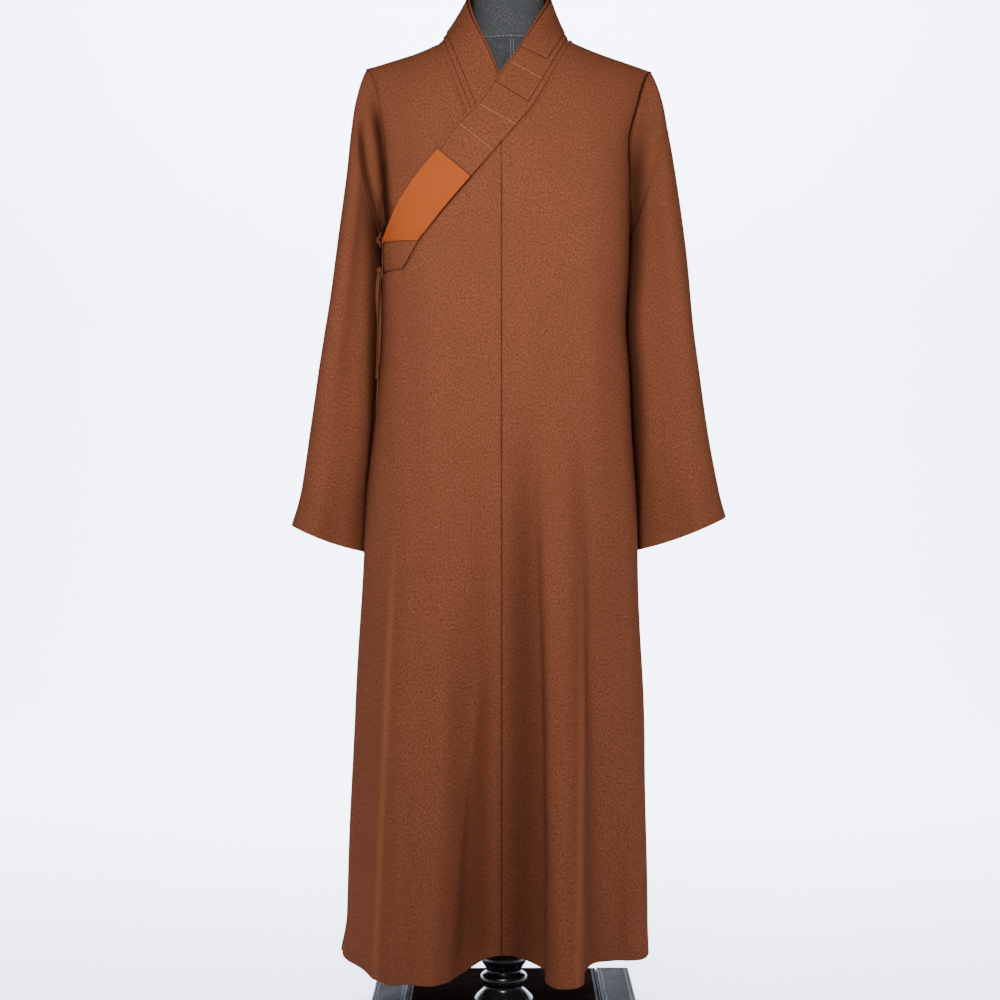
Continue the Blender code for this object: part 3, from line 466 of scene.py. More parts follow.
def row_height(face, level, x, hem=None):
    """Levels run from 0 at the hem to 1 where the cloth rolls over, and 2 on the ridge."""
    low = hem_height(face, x) if hem is None else hem
    rolled = ROLL + (ridge_height(face, x) - ROLL) * np.sin((level - 1) * math.pi / 2)
    return np.where(level <= 1, low + (ROLL - low) * level, rolled)


def on_row(face, level, turn, hem=None):
    """The (x, z) where rows cross the lines at `turn` degrees round from the middle."""
    level, turn = np.broadcast_arrays(np.asarray(level, float), np.asarray(turn, float))
    swing = np.sin(np.radians(turn))
    x = np.zeros(level.shape)
    for _ in range(12):
        z = row_height(face, level, x, hem)
        x = swing * half_width(swing, z)
    return x, row_height(face, level, x, hem)


def turn_at(face, level, edge, hem=None):
    """The turn in degrees where rows meet the edge x = edge(z)."""
    low, high = np.full(level.shape, -90.0), np.full(level.shape, 90.0)
    for _ in range(36):
        middle = (low + high) / 2
        x, z = on_row(face, level, middle, hem)
        before = x < edge(z)
        low, high = np.where(before, middle, low), np.where(before, high, middle)
    return low


def armhole_turn(level):
    """How far round the body reaches at a level: all the way, but for the armhole."""
    along = np.clip((level - ARMPIT_LEVEL) / (2 - ARMPIT_LEVEL), 0, 1)
    return 90.0 - ARMHOLE_SWEEP * np.sin(math.pi * along)**ARMHOLE_ROUND


# ------------------------------------------------------------------ the collar's surface
def collar_value(name, station):
    values = column(COLLAR, name)
    return smooth(np.arange(len(values)), values, station)


def sewn_edge(station):
    """The collar's sewn edge, on the robe's surface: face, x and z."""
    x, z = collar_value("sewn_x", station), collar_value("sewn_z", station)
    behind = (station >= RIGHT_NECK_STATION) & (station <= LEFT_NECK_STATION)
    ridge = np.where(behind, ridge_height(1, x), ridge_height(-1, x))
    return np.where(behind, 1, -1), x, np.minimum(z, ridge - 0.0002)


def on_face(face, x, z):
    """Points of the robe's surface, each on its own face."""
    return np.where((face > 0)[..., None], robe_point(1, x, z), robe_point(-1, x, z))


def eased_edge():
    """The sewn edge in space, made even where it passes over the shoulders."""
    steps, window, spread, reach = 801, 30, 0.30, 1.3
    stations = np.linspace(0.0, COLLAR_END, steps)
    points = on_face(*sewn_edge(stations))
    weights = np.exp(-(np.arange(-window, window + 1) * COLLAR_END / (steps - 1) / spread)**2)
    padded = np.pad(points, ((window, window), (0, 0)), "edge")
    even = joined(*(np.convolve(padded[:, axis], weights / weights.sum(), "valid") for axis in range(3)))
    share = np.maximum(*(hump(stations, place, reach) for place in (RIGHT_NECK_STATION, LEFT_NECK_STATION)))
    return stations, points + (even - points) * share[:, None]


EASED_EDGE = eased_edge()


def collar_base(station, across):
    """The band's middle surface before it is lifted: across is 0 at the free edge."""
    station, across = np.broadcast_arrays(np.asarray(station, float), np.asarray(across, float))
    face = np.where((station >= RIGHT_NECK_STATION) & (station <= LEFT_NECK_STATION), 1, -1)
    sewn = joined(*(np.interp(station, EASED_EDGE[0], EASED_EDGE[1][:, axis]) for axis in range(3)))
    free = joined(*(collar_value(name, station) for name in ("neck_x", "neck_y", "neck_z")))
    straight = free + (sewn - free) * across[..., None]
    stand = np.clip(collar_value("stand", station), 0, 1)[..., None]
    lying = on_face(face, straight[..., 0], np.minimum(straight[..., 2], 1.60))
    return np.where(stand > 0.999, straight, lying + (straight - lying) * stand)


def collar_point(station, across, out=0.0):
    """Points of the collar, moved out along its normal."""
    step = 0.02
    station, across = np.broadcast_arrays(np.asarray(station, float), np.asarray(across, float))
    along = (collar_base(np.minimum(COLLAR_END, station + step), across)
             - collar_base(np.maximum(0.0, station - step), across))
    width = (collar_base(station, np.minimum(1.0, across + step))
             - collar_base(station, np.maximum(0.0, across - step)))
    sunk = np.where(station < RIGHT_NECK_STATION,
                    look_up(UNDER, "height", "depth", collar_value("sewn_z", station)), 0.0)
    return collar_base(station, across) + unit(np.cross(along, width)) * (out - sunk)[..., None]


def edge_line(first, last):
    """The sewn edge between two stations, as heights in rising order and their x."""
    x, z = sewn_edge(np.linspace(first, last, 400))[1:]
    order = np.argsort(z, kind="stable")
    return z[order], x[order]


# ------------------------------------------------------------------ making objects
def mesh_from(name, points, faces, uvs=None):
    """A mesh from points and faces, with a UV for each corner of each face."""
    mesh = bpy.data.meshes.new(name)
    mesh.from_pydata(points.reshape(-1, 3).tolist(), [], faces.tolist())
    if uvs is not None:
        layer = mesh.uv_layers.new(name="cloth")
        layer.data.foreach_set("uv", uvs.astype(np.float32).ravel())
    mesh.shade_smooth()
    return mesh


def put(name, mesh, material):
    """Adds a finished mesh to the scene and lets it ride on the robe's body."""
    item = bpy.data.objects.new(name, mesh)
    bpy.context.scene.collection.objects.link(item)
    mesh.materials.clear()
    mesh.materials.append(bpy.data.materials[material])
    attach(item, BODY_NAME)
    return item


def grid_faces(rows, columns, closed=False):
    """Quads of a grid of points, rows upwards and columns towards +X on the front."""
    r, c = np.meshgrid(np.arange(rows - 1), np.arange(columns if closed else columns - 1),
                       indexing="ij")
    d = (c + 1) % columns
    low, high = r * columns, (r + 1) * columns
    return joined(low + c, low + d, high + d, high + c).reshape(-1, 4)


def grid_uvs(points, closed=False):
    """Distances along the cloth in metres for the corners of a grid's quads."""
    if closed:
        points = np.concatenate([points, points[:, :1]], 1)
    across = np.linalg.norm(np.diff(points, axis=1), axis=-1)
    up = np.linalg.norm(np.diff(points, axis=0), axis=-1).mean(1)
    u = np.concatenate([np.zeros((len(points), 1)), np.cumsum(across, 1)], 1)
    v = np.concatenate([[0.0], np.cumsum(up)])[:, None]
    return joined(u - u[:, -1:] / 2, v).reshape(-1, 2)[grid_faces(*points.shape[:2])]


def skin(name, points, material):
    """A closed skin round a grid of rings, with both of its ends filled."""
    mesh = mesh_from(name, points, grid_faces(*points.shape[:2], closed=True), grid_uvs(points, True))
    close_ends(mesh)
    return put(name, mesh, material)


def cloth(name, points, closed=False, keep=None):
    """A wall of the robe's wool: Solidify gives it its thickness, on the inside."""
    faces, uvs = grid_faces(*points.shape[:2], closed), grid_uvs(points, closed)
    points = points.reshape(-1, 3)
    if keep is not None:
        kept = keep.ravel()[faces].all(1)
        faces, uvs = faces[kept], uvs[kept]
        used, place = np.unique(faces, return_inverse=True)
        points, faces = points[used], place.reshape(faces.shape)
    item = put(name, mesh_from(name, points, faces, uvs), "wool")
    thick = item.modifiers.new("wall", "SOLIDIFY")
    thick.thickness = WALL
    thick.offset = -1.0
    thick.use_rim = True
    return item


def places(item):
    """X, Y and Z of a piece's points."""
    place = np.empty(len(item.data.vertices) * 3)
    item.data.vertices.foreach_get("co", place)
    return place[0::3], place[1::3], place[2::3]


def store(item, name, values):
    """Keeps a value for each point of a piece, which its material reads by name."""
    layer = item.data.attributes.new(name, "FLOAT", "POINT")
    layer.data.foreach_set("value", values.astype(np.float32))


def hump_of(area, x, z):
    """How far each point is inside one row of the painted shade in the large folds."""
    down = np.clip((area["top"] - z) / (area["top"] - HEM), 0, 1)
    line = area["top_x"] + (area["hem_x"] - area["top_x"]) * down
    return ease(0.0, FOLD_SHADE_START, down) * hump(x, line, np.where(x > line, area["left"], area["right"]))


def armhole_fold(piece, x, y, z, name):
    """A value of the front's ARMHOLE_FOLDS in a piece, 0 away from their lines."""
    total = np.zeros(x.shape)
    for fold in entries(ARMHOLE_FOLDS):
        if piece in fold["pieces"]:
            down = np.clip((fold["top_z"] - z) / (fold["top_z"] - fold["low_z"]), 0, 1)
            line = fold["top_x"] + (fold["low_x"] - fold["top_x"]) * down**fold["curve"]
            held = ease(0.0, ARMHOLE_FOLD_START, down) * (y < 0)
            held = held * ease(fold["low_z"] - ARMHOLE_FOLD_END, fold["low_z"], z)
            total = np.maximum(total, fold[name] * held * hump(x, line, fold["reach"]))
    return total


def store_rub_and_shade(item, face, piece=""):
    """Stores where the nap is rubbed pale with a painted highlight, on pressed creases, and the painted
    shade in the large folds and the armhole folds.
    """
    x, y, z = places(item)
    total = np.zeros(len(x))
    for crease in entries(CREASES):
        if crease["face"] == face and crease["rub"]:
            down, line = crease_line(crease, z)
            total += crease["rub"] * ease(0.0, RUB_START, down) * hump(x, line, RUB_WIDTH)
    store(item, "rub", total)
    # painted shade in the bottom of the large folds and along the armhole folds
    kept = [area for area in entries(FOLD_SHADE) if area["face"] == face]
    deep = sum(area["dark"] * hump_of(area, x, z) for area in kept)
    store(item, "deep", np.maximum(deep, armhole_fold(piece, x, y, z, "dark")))


def paint_inner_shade(item, side):
    """Stores the painted shade on a sleeve's inner side, beside the body, and along the armhole folds."""
    x, y, z = places(item)
    shape = entries(SLEEVE_HANG)[0 if side > 0 else 1]
    gap = side * x - half_width(np.full(x.shape, float(side)), z)
    share = ease(shape["narrow"], shape["wide"], z)
    far, near = (low + (high - low) * share for low, high in zip(INNER_NARROW, INNER_WIDTH))
    inner = INNER_SHADE * ease(far, near, gap) * ease(shape["dark_top"], shape["dark_below"], z)
    inner = inner * (1 - ease(*INNER_HEAD_Z, z) * ease(*INNER_HEAD_Y, y))
    store(item, "deep", np.maximum(inner, armhole_fold("sleeve_" + shape["side"], x, y, z, "dark")))


def outward(points, closed=False):
    """Normals of a grid of points, out of the faces that grid_faces makes."""
    across = np.roll(points, -1, 1) - np.roll(points, 1, 1) if closed else np.gradient(points, axis=1)
    return unit(np.cross(across, np.gradient(points, axis=0)))


def turned_in(points, normal, depth):
    """Folds the cloth inwards along its first row, and back up inside to a depth."""
    fold = WALL + 0.0002
    up = unit(points[1] - points[0])
    run = np.cumsum(np.linalg.norm(np.diff(points, axis=0), axis=-1).mean(1))
    rows = int(np.searchsorted(run, depth)) + 1
    centre = points[0] + (up - normal[0]) * fold
    swing = np.linspace(math.pi, 0.0, 9)[:, None, None]
    bend = centre + fold * (normal[0] * np.cos(swing) - up * np.sin(swing))
    inside = points[rows:0:-1] - 2 * fold * normal[rows:0:-1]
    return np.concatenate([inside, bend, points[1:]])


def hemmed(points):
    settings = bpy.context.scene.robe_cloth
    return turned_in(points, outward(points), settings.hem_depth)


# ------------------------------------------------------------------ the cloth panels
LOWER = np.linspace(0.0, 1.0, 165)[:-1]
UPPER = np.linspace(1.0, 2.0, 66)
OVERLAP_TOP = 1.18               # level above which the overlap has no rows
COLLAR_UNDERLAP = 0.007          # how far a panel goes on under the collar
COLLAR_SLOPE = 0.72              # a distance along X, times this, is square to the collar's edge
UNDER_SLOPE = 0.9                # and this beside the inner front's stretch of it
COLLAR_EASE = (0.0, 0.02)        # the drape grows between these distances from the edge
SEAM_MEET = 0.004                # the centre seam and the collar's edge share this height
BACK_LAP = 0.006                 # the back goes on this far up under the collar
BACK_LAP_HALF = 0.0975
BODY_HALF = 0.19                 # radius that turns degrees at the armhole into a distance
# The light ripples.  The first ones are those of hanging cloth, and the slow ones are everywhere.
WAVE_NAMES = ("out", "by_x", "by_z", "shift", "by_face")
HANGING_WAVES = (
    WAVE_NAMES,
    (0.0016, 47.0, 1.6, 0.0, 1.1),
    (0.0011, 83.0, -2.7, 0.7, 0.0),
    (0.0007, 131.0, 5.0, 0.0, 2.0),
)
SLOW_WAVES = (
    WAVE_NAMES,
    (0.0009, 21.0, 9.0, 0.0, 0.0),
    (0.0006, -12.0, 23.0, 0.0, 1.0),
)
HANGING = (1.34, 0.95)           # the first ripples grow to their full depth down these heights
HELD = 0.25                      # and have this share of it above them
RIPPLE_END = (0.5, 0.95)         # all of them end between these shares of the roll


def panel_shares(middle):
    """Shares of a row's width, closer together along both of its seams."""
    near = np.array([0.0, 0.004, 0.008, 0.013, 0.019, 0.027, 0.037])
    return np.concatenate([near, np.linspace(0.05, 0.95, middle), 1 - near[::-1]])


def crease_line(crease, z):
    """How far down its length a crease is at a height, and its X there."""
    down = np.clip((crease["top"] - z) / (crease["top"] - HEM), 0, 1)
    return down, smooth([0, 0.5, 1], [crease["top_x"], crease["middle_x"], crease["hem_x"]], down)


def crease_depth(face, x, z):
    """How far the sharp creases push the cloth out at (x, z)."""
    total = np.zeros(np.broadcast(x, z).shape)
    for crease in entries(CREASES):
        if crease["face"] != face:
            continue
        down, line = crease_line(crease, z)
        reach = np.where(x > line, crease["left"], crease["right"])
        away = np.sqrt((x - line)**2 + CREASE_ROUND**2) - CREASE_ROUND
        total = total + crease["out"] * down**CREASE_GROWTH * np.clip(1 - away / reach, 0, 1)**2
    return total


def drape(face, x, z):
    """The creases and the light ripples of hanging cloth, between the large folds."""
    roll, low = rolled_over(face, x, z), ease(*HANGING, z)
    hanging, slow = (sum(wave["out"] * np.sin(wave["by_x"] * x + wave["by_z"] * z + wave["shift"]
                                              + wave["by_face"] * face) for wave in entries(waves))
                     for waves in (HANGING_WAVES, SLOW_WAVES))
    light = (hanging * (HELD + (1 - HELD) * low) + slow) * (1 - ease(*RIPPLE_END, roll))
    return bpy.context.scene.robe_cloth.ripple * (light + crease_depth(face, x, z))


def dip(distance, depth=SEAM_DIP, width=SEAM_DIP_WIDTH):
    """The cloth turns down into a seam that is this far away."""
    return -depth * (1 - ease(0.0, width, distance))


def tuck(distance, z):
    """The cloth goes under the collar where the distance to its edge is below zero."""
    depth = TUCK + (NECK_TUCK - TUCK) * ease(*NECK_TUCK_RISE, z)
    return -depth * (1 - ease(-0.001, TUCK_WIDTH, distance))


def armhole_gap(level, turn):
    """Distance along the cloth to the armhole's edge, large below the armpit."""
    gap = np.radians(armhole_turn(level) - np.abs(turn)) * BODY_HALF
    return np.where(level > ARMPIT_LEVEL, gap, 1.0)


def armhole_dip(level, turn):
    return dip(armhole_gap(level[:, None], turn), ARMHOLE_DIP, ARMHOLE_DIP_WIDTH)


def front_left_points():
    zc, xc = edge_line(LEFT_NECK_STATION, SEAM_STATION)

    def inner(z):
        return np.where(z < zc[0], SEAM_X, np.maximum(SEAM_X, np.interp(z, zc, xc) - COLLAR_UNDERLAP))

    level = np.concatenate([LOWER, UPPER])
    first, last = turn_at(-1, level, inner), armhole_turn(level)
    turn = first[:, None] + (last - first)[:, None] * panel_shares(92)
    x, z = on_row(-1, level[:, None], turn)
    beside_collar = (x - np.interp(z, zc, xc)) * COLLAR_SLOPE
    out = np.where(z > zc[0] - SEAM_MEET, tuck(beside_collar, z), 0.0)
    out = out + np.where(z < zc[0] + SEAM_MEET, dip(x - SEAM_X), 0.0)
    out = out + armhole_dip(level, turn)
    return robe_point(-1, x, z, out + drape(-1, x, z) * ease(*COLLAR_EASE, beside_collar + (z < zc[0])))


def front_overlap_points():
    """The overlap goes out to the side below the collar's tail, and to the collar above it."""
    zc, xc = edge_line(SEAM_STATION - 1, COLLAR_END)
    tail_x, tail_z = float(column(COLLAR, "sewn_x")[-1]), float(column(COLLAR, "sewn_z")[-1])

    def edge(z):
        return np.interp(z, zc, xc) - COLLAR_UNDERLAP

    top = (tail_z + COLLAR_UNDERLAP - HEM) / (ROLL - HEM)
    level = np.sort(np.concatenate([LOWER, [top], UPPER[UPPER < OVERLAP_TOP]]))
    tail_turn = turn_at(-1, np.array([top]), edge)[0]
    seam = turn_at(-1, level, lambda z: np.full(z.shape, SEAM_X))
    first = np.where(level <= top, tail_turn, turn_at(-1, level, edge))
    beside = np.linspace(-90.0, tail_turn, 26)[:-1]
    turn = np.concatenate([np.broadcast_to(beside, (len(level), len(beside))),
                           first[:, None] + (seam - first)[:, None] * panel_shares(76)], 1)
    keep = np.ones(turn.shape, bool)
    keep[level > top + 1e-6, :len(beside)] = False
    x, z = on_row(-1, level[:, None], turn)
    above = (x - np.interp(z, zc, xc)) * COLLAR_SLOPE
    below = np.where(x < tail_x, tail_z - z, np.hypot(x - tail_x, np.maximum(tail_z - z, 0)))
    out = tuck(np.where(z > tail_z, above, below), z) + dip(SEAM_X - x)
    return robe_point(-1, x, z, out + drape(-1, x, z)), keep


def under_inset(x, z):
    """Depth of the inner front: nothing at the shoulder and the armhole, where it is sewn."""
    armhole = half_width(x, z) * math.cos(math.radians(ARMHOLE_SWEEP))
    from_armhole = ease(0.0, UNDER_SEAM_EASE, armhole + UNDER_SEAM_EASE / 4 - np.abs(x))
    depth = look_up(UNDER, "height", "depth", z)
    return depth * (1 - ease(ARMPIT, ROLL, z) * (1 - from_armhole))


def front_under_points():
    zc, xc = edge_line(0.0, RIGHT_NECK_STATION)

    def inner(z):
        start = xc[0] + COLLAR_UNDERLAP
        deep, shallow = UNDER_SWEEP
        swept = UNDER_EDGE_X + (start - UNDER_EDGE_X) * ease(zc[0] - deep, zc[0] - shallow, z)
        return np.where(z >= zc[0], np.interp(z, zc, xc) + COLLAR_UNDERLAP, swept)

    hem = HEM + UNDER_HEM_RISE
    level = np.concatenate([np.linspace(*ends, 40)[:-1] for ends in ((0, 0.72), (0.72, 1.0))] + [UPPER])
    first, last = -armhole_turn(level), turn_at(-1, level, inner, hem)
    turn = first[:, None] + (last - first)[:, None] * panel_shares(74)
    x, z = on_row(-1, level[:, None], turn, hem)
    beside_collar = (np.interp(z, zc, xc) - x) * UNDER_SLOPE
    out = np.where(z > zc[0] - SEAM_MEET, tuck(beside_collar, z), 0.0) - under_inset(x, z)
    out = out + armhole_dip(level, turn)
    out = out - armhole_fold("front_under", x, np.full(x.shape, -1.0), z, "deep")
    return robe_point(-1, x, z, out + drape(-1, x, z) * ease(*COLLAR_EASE, beside_collar))


def back_points(side):
    """A back panel, cut off along the collar's sewn edge."""
    x, z = sewn_edge(np.linspace(RIGHT_NECK_STATION + 0.01, LEFT_NECK_STATION - 0.01, 400))[1:]
    order = np.argsort(x, kind="stable")
    xn, zn = x[order], z[order]
    neck_x = (xn[0] if side < 0 else xn[-1]) + side * 0.0005
    neck_turn = turn_at(1, np.array([2.0]), lambda z: np.full(z.shape, neck_x))[0]
    level = np.concatenate([LOWER, UPPER])
    first = turn_at(1, level, lambda z: np.full(z.shape, BACK_SEAM_X))[:, None]
    last = (side * armhole_turn(level))[:, None]
    near = np.array([0.0, 0.008, 0.016, 0.026, 0.038, 0.054, 0.075])
    by_neck = np.concatenate([near, np.linspace(0.1, 0.94, 38), [0.96, 0.975, 0.987, 0.995]])
    outside = np.concatenate([np.linspace(0.0, 0.95, 40), 1 - near[:6][::-1] * 0.8])
    turn = np.concatenate([first + (neck_turn - first) * by_neck,
                           neck_turn + (last - neck_turn) * outside], 1)
    x, z = on_row(1, level[:, None], turn)
    inside = (x > xn[0]) & (x < xn[-1])
    neck_z = np.interp(x, xn, zn)
    lap = BACK_LAP * np.clip(1 - np.abs(x / BACK_LAP_HALF)**6, 0, 1)
    cut = np.minimum(z, ROLL + (neck_z + lap - ROLL) * rolled_over(1, x, z))
    z = np.where(inside & (level[:, None] > 1), cut, z)
    out = np.where(inside, tuck(neck_z - z, z), 0.0) + dip(np.abs(x - BACK_SEAM_X))
    out = out + armhole_dip(level, turn)
    points = robe_point(1, x, z, out + drape(1, x, z))
    return points[:, ::-1] if side > 0 else points


# A place on a sleeve is so many table rows down it, and so many half turns round it: 0 is its outer
# side, 0.5 its front and 1 its inner side, where its lean is 0.  A pair is a middle and a reach, and
# for the names that end in _EASE it is where a change starts and ends.
SLEEVE_RINGS, SLEEVE_SIDES = 150, 112
SLEEVE_SETBACK = 1.2             # degrees that its first ring lies inside the armhole's edge
SLEEVE_SINK = 0.003              # and its depth below the body's surface
SLEEVE_OFF = 0.0003              # its sides are this much further from the middle than its table
SLEEVE_FRONT = (0.60, 0.50)
FILL_ROWS, FILL_TURN = (1.5, 1.4), (0.62, 0.36)
BEHIND_EASE = (0.6, 2.2)         # down these rows its inner side goes behind the body
OUTER_EASE, INNER_EASE = (0.70, 0.97), (0.02, 0.25)     # of the hollow below the shoulder, by lean
TROUGH_ROWS, FOLD_ROWS, SWELL_ROWS = (0.75, 0.75), (0.34, 0.30), (2.1, 1.3)
SLEEVE_SWELL = 0.0035            # it swells this much below the hollow
SLEEVE_WAVES = (
    ("out", "by_angle", "by_row", "by_side", "grows", "ends"),
    (0.0030, 2.0, 0.5, 1.0, (0.8, 3.0), (8.2, 6.0)),
    (0.0012, 5.0, 0.9, 0.0, (1.0, 3.0), (10.0, 9.0)),
    (0.0010, 3.0, 2.3, 0.0, (-1.0, 0.0), (10.0, 9.0)),
)
SLEEVE_RIDGES = ((0.0045, 0.70, 0.14), (-0.0025, 0.52, 0.14))      # out, half turns, reach
RIDGE_EASE = (1.8, 4.2)
CLEAR_EASE, CLEAR_Z_EASE = (0.9, 1.4), (1.200, 1.188)   # it keeps clear of the body from here down


def sleeve_folds(side, shape, ring, around, lean):
    """How far the hollow below the shoulder and the soft folds move a sleeve's surface out."""
    below = (1 - ease(*OUTER_EASE, lean)) * ease(*INNER_EASE, lean)
    front = hump(around, *SLEEVE_FRONT)
    trough = SLEEVE_BACK_TROUGH + (shape["trough"] - SLEEVE_BACK_TROUGH) * front
    hollow = (trough * hump(ring, *TROUGH_ROWS) + front * shape["crease"] * hump(ring, *FOLD_ROWS)
              - SLEEVE_SWELL * hump(ring, *SWELL_ROWS))
    waves = 0.0
    for wave in entries(SLEEVE_WAVES):
        phase = wave["by_angle"] * math.pi * around + wave["by_row"] * ring + wave["by_side"] * side
        waves = waves + wave["out"] * np.sin(phase) * ease(*wave["grows"], ring) * ease(*wave["ends"], ring)
    ridges = sum(out * hump(around, middle, reach) for out, middle, reach in SLEEVE_RIDGES)
    folds = waves + ridges * ease(*RIDGE_EASE, ring)
    return bpy.context.scene.robe_cloth.ripple * folds - below * hollow


def sleeve_loop(side, lean, face):
    """The armhole's outline, which a sleeve's first ring follows."""
    level = ARMPIT_LEVEL + (2 - ARMPIT_LEVEL) * lean
    turn = side * (armhole_turn(level) - SLEEVE_SETBACK)
    front, back = (robe_point(to, *on_row(to, level, turn), -SLEEVE_SINK) for to in (-1, 1))
    return np.where((face < 0)[:, None], front, back)


def sleeve_points(side, table):
    """A tube from the armhole's loop to the open cuff."""
    knots = np.arange(len(table) - 1)
    ring = np.linspace(0.0, len(knots) - 1, SLEEVE_RINGS)[:, None]
    around = (2 * np.arange(SLEEVE_SIDES) / SLEEVE_SIDES)[None, :]
    value = {name: smooth(knots, column(table, name), ring) for name in table[0]}
    shape = entries(SLEEVE_HANG)[0 if side > 0 else 1]
    face = np.where(around < 1, -1, 1)
    lean = (1 + np.cos(math.pi * around)) / 2
    square = np.where(lean > 0.5, value["head"], SLEEVE_ROUND)
    depth = np.where(face < 0, value["front"], value["back"]) * np.abs(np.sin(math.pi * around))**square
    depth = depth + shape["fill"] * hump(ring, *FILL_ROWS) * hump(around, *FILL_TURN)
    behind = ease(*BEHIND_EASE, ring) * (1 - lean)**2
    free = joined(side * (value["inner_x"] + (value["outer_x"] - value["inner_x"]) * lean
                          - shape["inner_in"] * behind**2 + SLEEVE_OFF),
                  face * depth + shape["inner_back"] * behind,
                  value["inner_z"] + (value["outer_z"] - value["inner_z"]) * lean)
    loop = sleeve_loop(side, lean[0], face[0])
    points = free + (loop - free) * (1 - ease(0.0, SLEEVE_JOIN, ring))[..., None]
    pressed = armhole_fold("sleeve_" + shape["side"], *np.moveaxis(points, -1, 0), "deep")
    points = swollen(points, sleeve_folds(side, shape, ring, around, lean) - pressed)
    low = ease(*CLEAR_EASE, ring) * ease(*CLEAR_Z_EASE, points[..., 2])
    points[..., 0] += (beside_body(points, side) - points[..., 0]) * low
    return points if side > 0 else points[:, ::-1]


def beside_body(points, side):
    """X of a sleeve's points, moved sideways where they would be in the body."""
    x, y, z = points[..., 0] * side, points[..., 1], points[..., 2]

    low, high = x, half_width(side, z) + SLEEVE_CLEARANCE

    def within(x):
        front, back = (robe_y(face, side * x, z) + face * SLEEVE_CLEARANCE for face in (-1, 1))
        return (x < half_width(side, z) + SLEEVE_CLEARANCE) & (y > front) & (y < back)

    for _ in range(16):
        middle = (low + high) / 2
        inside = within(middle)
        low, high = np.where(inside, middle, low), np.where(inside, high, middle)
    return side * np.where(within(x), high, x)


def swollen(points, amount):
    """A closed grid's points, moved out along its own normals."""
    around = np.roll(points, -1, axis=1) - np.roll(points, 1, axis=1)
    along = np.gradient(points, axis=0)
    normal = unit(np.cross(along, around))
    middle = points.mean(axis=1, keepdims=True)
    outward = np.sign(((points - middle) * normal).sum(-1, keepdims=True).mean())
    return points + normal * outward * amount[..., None]


# ------------------------------------------------------------------ the collar's pieces
COLLAR_WIDTH = 0.066
STRAP_STEP = 0.05                # stations from one row of points to the next
STRAP_EDGE = 0.13                # share of the collar's width that has close rows at each side
EDGE_ROUND = 0.0009              # radius of a strap's edges
EDGE_HEIGHT = 0.45               # share of its thickness at which its two sides meet at an edge
EDGE_UNDER = 0.30                # and the rise of its underside there
RIM = (0.0012, 0.0018)           # middle and reach of a rolled rim, from the edge
STATION_LENGTH = 0.048           # the collar's length from one station to the next, about


def strap(name, start, end, free, sewn, low, high, material, slot, rim=0.0):
    """A flat piece along the collar with rounded edges: a rim raises its rolled edge."""
    stations = np.linspace(start, end, int((end - start) / STRAP_STEP) + 2)
    near = np.array([0.0, 0.0002, 0.0006, 0.0012, 0.0020, 0.0030, 0.0045, 0.0065]) / COLLAR_WIDTH
    plain = np.linspace(free + STRAP_EDGE, sewn - STRAP_EDGE, 12)
    shares = np.concatenate([free + near, plain, sewn - near[::-1]])
    edge = np.minimum(shares - free, sewn - shares) * COLLAR_WIDTH
    ends = np.minimum(stations - start, end - stations) * STATION_LENGTH
    rounded, end_round = (np.sqrt(np.clip(1 - (1 - np.clip(away / EDGE_ROUND, 0, 1))**2, 0, 1))
                          for away in (edge, ends[:, None]))
    top = (high - low) * (EDGE_HEIGHT + (1 - EDGE_HEIGHT) * rounded) + rim * hump(edge, *RIM)
    under = low + (high - low) * EDGE_UNDER * (1 - rounded)
    st, sh = stations[:, None], shares[None, :]
    upper = collar_point(st, sh, low + top * (EDGE_HEIGHT + (1 - EDGE_HEIGHT) * end_round))
    lower = collar_point(st, sh, np.broadcast_to(under, (len(stations), len(shares))))
    points = np.concatenate([upper[:, ::-1], lower], 1)
    run = np.cumsum(np.concatenate([[0], np.linalg.norm(np.diff(upper[:, 10], axis=0), axis=-1)]))
    wide = np.concatenate([shares[::-1], shares, shares[-1:]]) * COLLAR_WIDTH
    uvs = joined(wide[None, :], run[:, None])
    corners = uvs.reshape(-1, 2)[grid_faces(*uvs.shape[:2])]
    mesh = mesh_from(name, points, grid_faces(*points.shape[:2], closed=True), corners)
    close_ends(mesh)
    return put(name, mesh, material)


def close_ends(mesh):
    """Fills the open ends of a tube and turns every face outwards."""
    body = bmesh.new()
    body.from_mesh(mesh)
    bmesh.ops.holes_fill(body, edges=[edge for edge in body.edges if edge.is_boundary])
    bmesh.ops.recalc_face_normals(body, faces=body.faces)
    body.to_mesh(mesh)
    body.free()


# ------------------------------------------------------------------ sewing
# Each kind of sewing.  Where the pitch is 0 it is the one that the user sets.
# The dark thread is near black: sewing, darkened as painted shade along the seams, the hem, the armholes
# and the feet of the collar's layers.
SEWING = (
    ("kind", "thread", "slot", "length", "pitch", "width"),
    ("seam", "dark_thread", "robe_wool", 0.0042, 0.0034, 0.0009),
    ("hem", "dark_thread", "robe_wool", 0.0022, 0.0060, 0.0003),
    ("armhole", "dark_thread", "robe_wool", 0.0040, 0.0030, 0.0014),
    ("row", "pale_thread", "robe_wool", 0.0029, 0.0, 0.0008),
    ("edge", "dark_thread", "robe_wool", 0.0030, 0.0022, 0.0009),
    # "fold" is no sewing: a pale line of painted highlight on a collar layer's rounded edge
    ("fold", "light_thread", "robe_wool", 0.0030, 0.0022, 0.0007),
    ("patch", "orange_thread", "patch_cloth", 0.0022, 0.0, 0.0006),
    ("cover", "grey_thread", "form_cloth", 0.0020, 0.0040, 0.0007),
)
STITCH_SOCKETS = (
    ("Line", "INPUT", "Geometry", None), ("Stitch Length", "INPUT", "Float", 0.0024),
    ("Pitch", "INPUT", "Float", 0.0032), ("Thread", "INPUT", "Float", 0.0006),
    ("Material", "INPUT", "Material", None), ("Stitches", "OUTPUT", "Geometry", None),
)
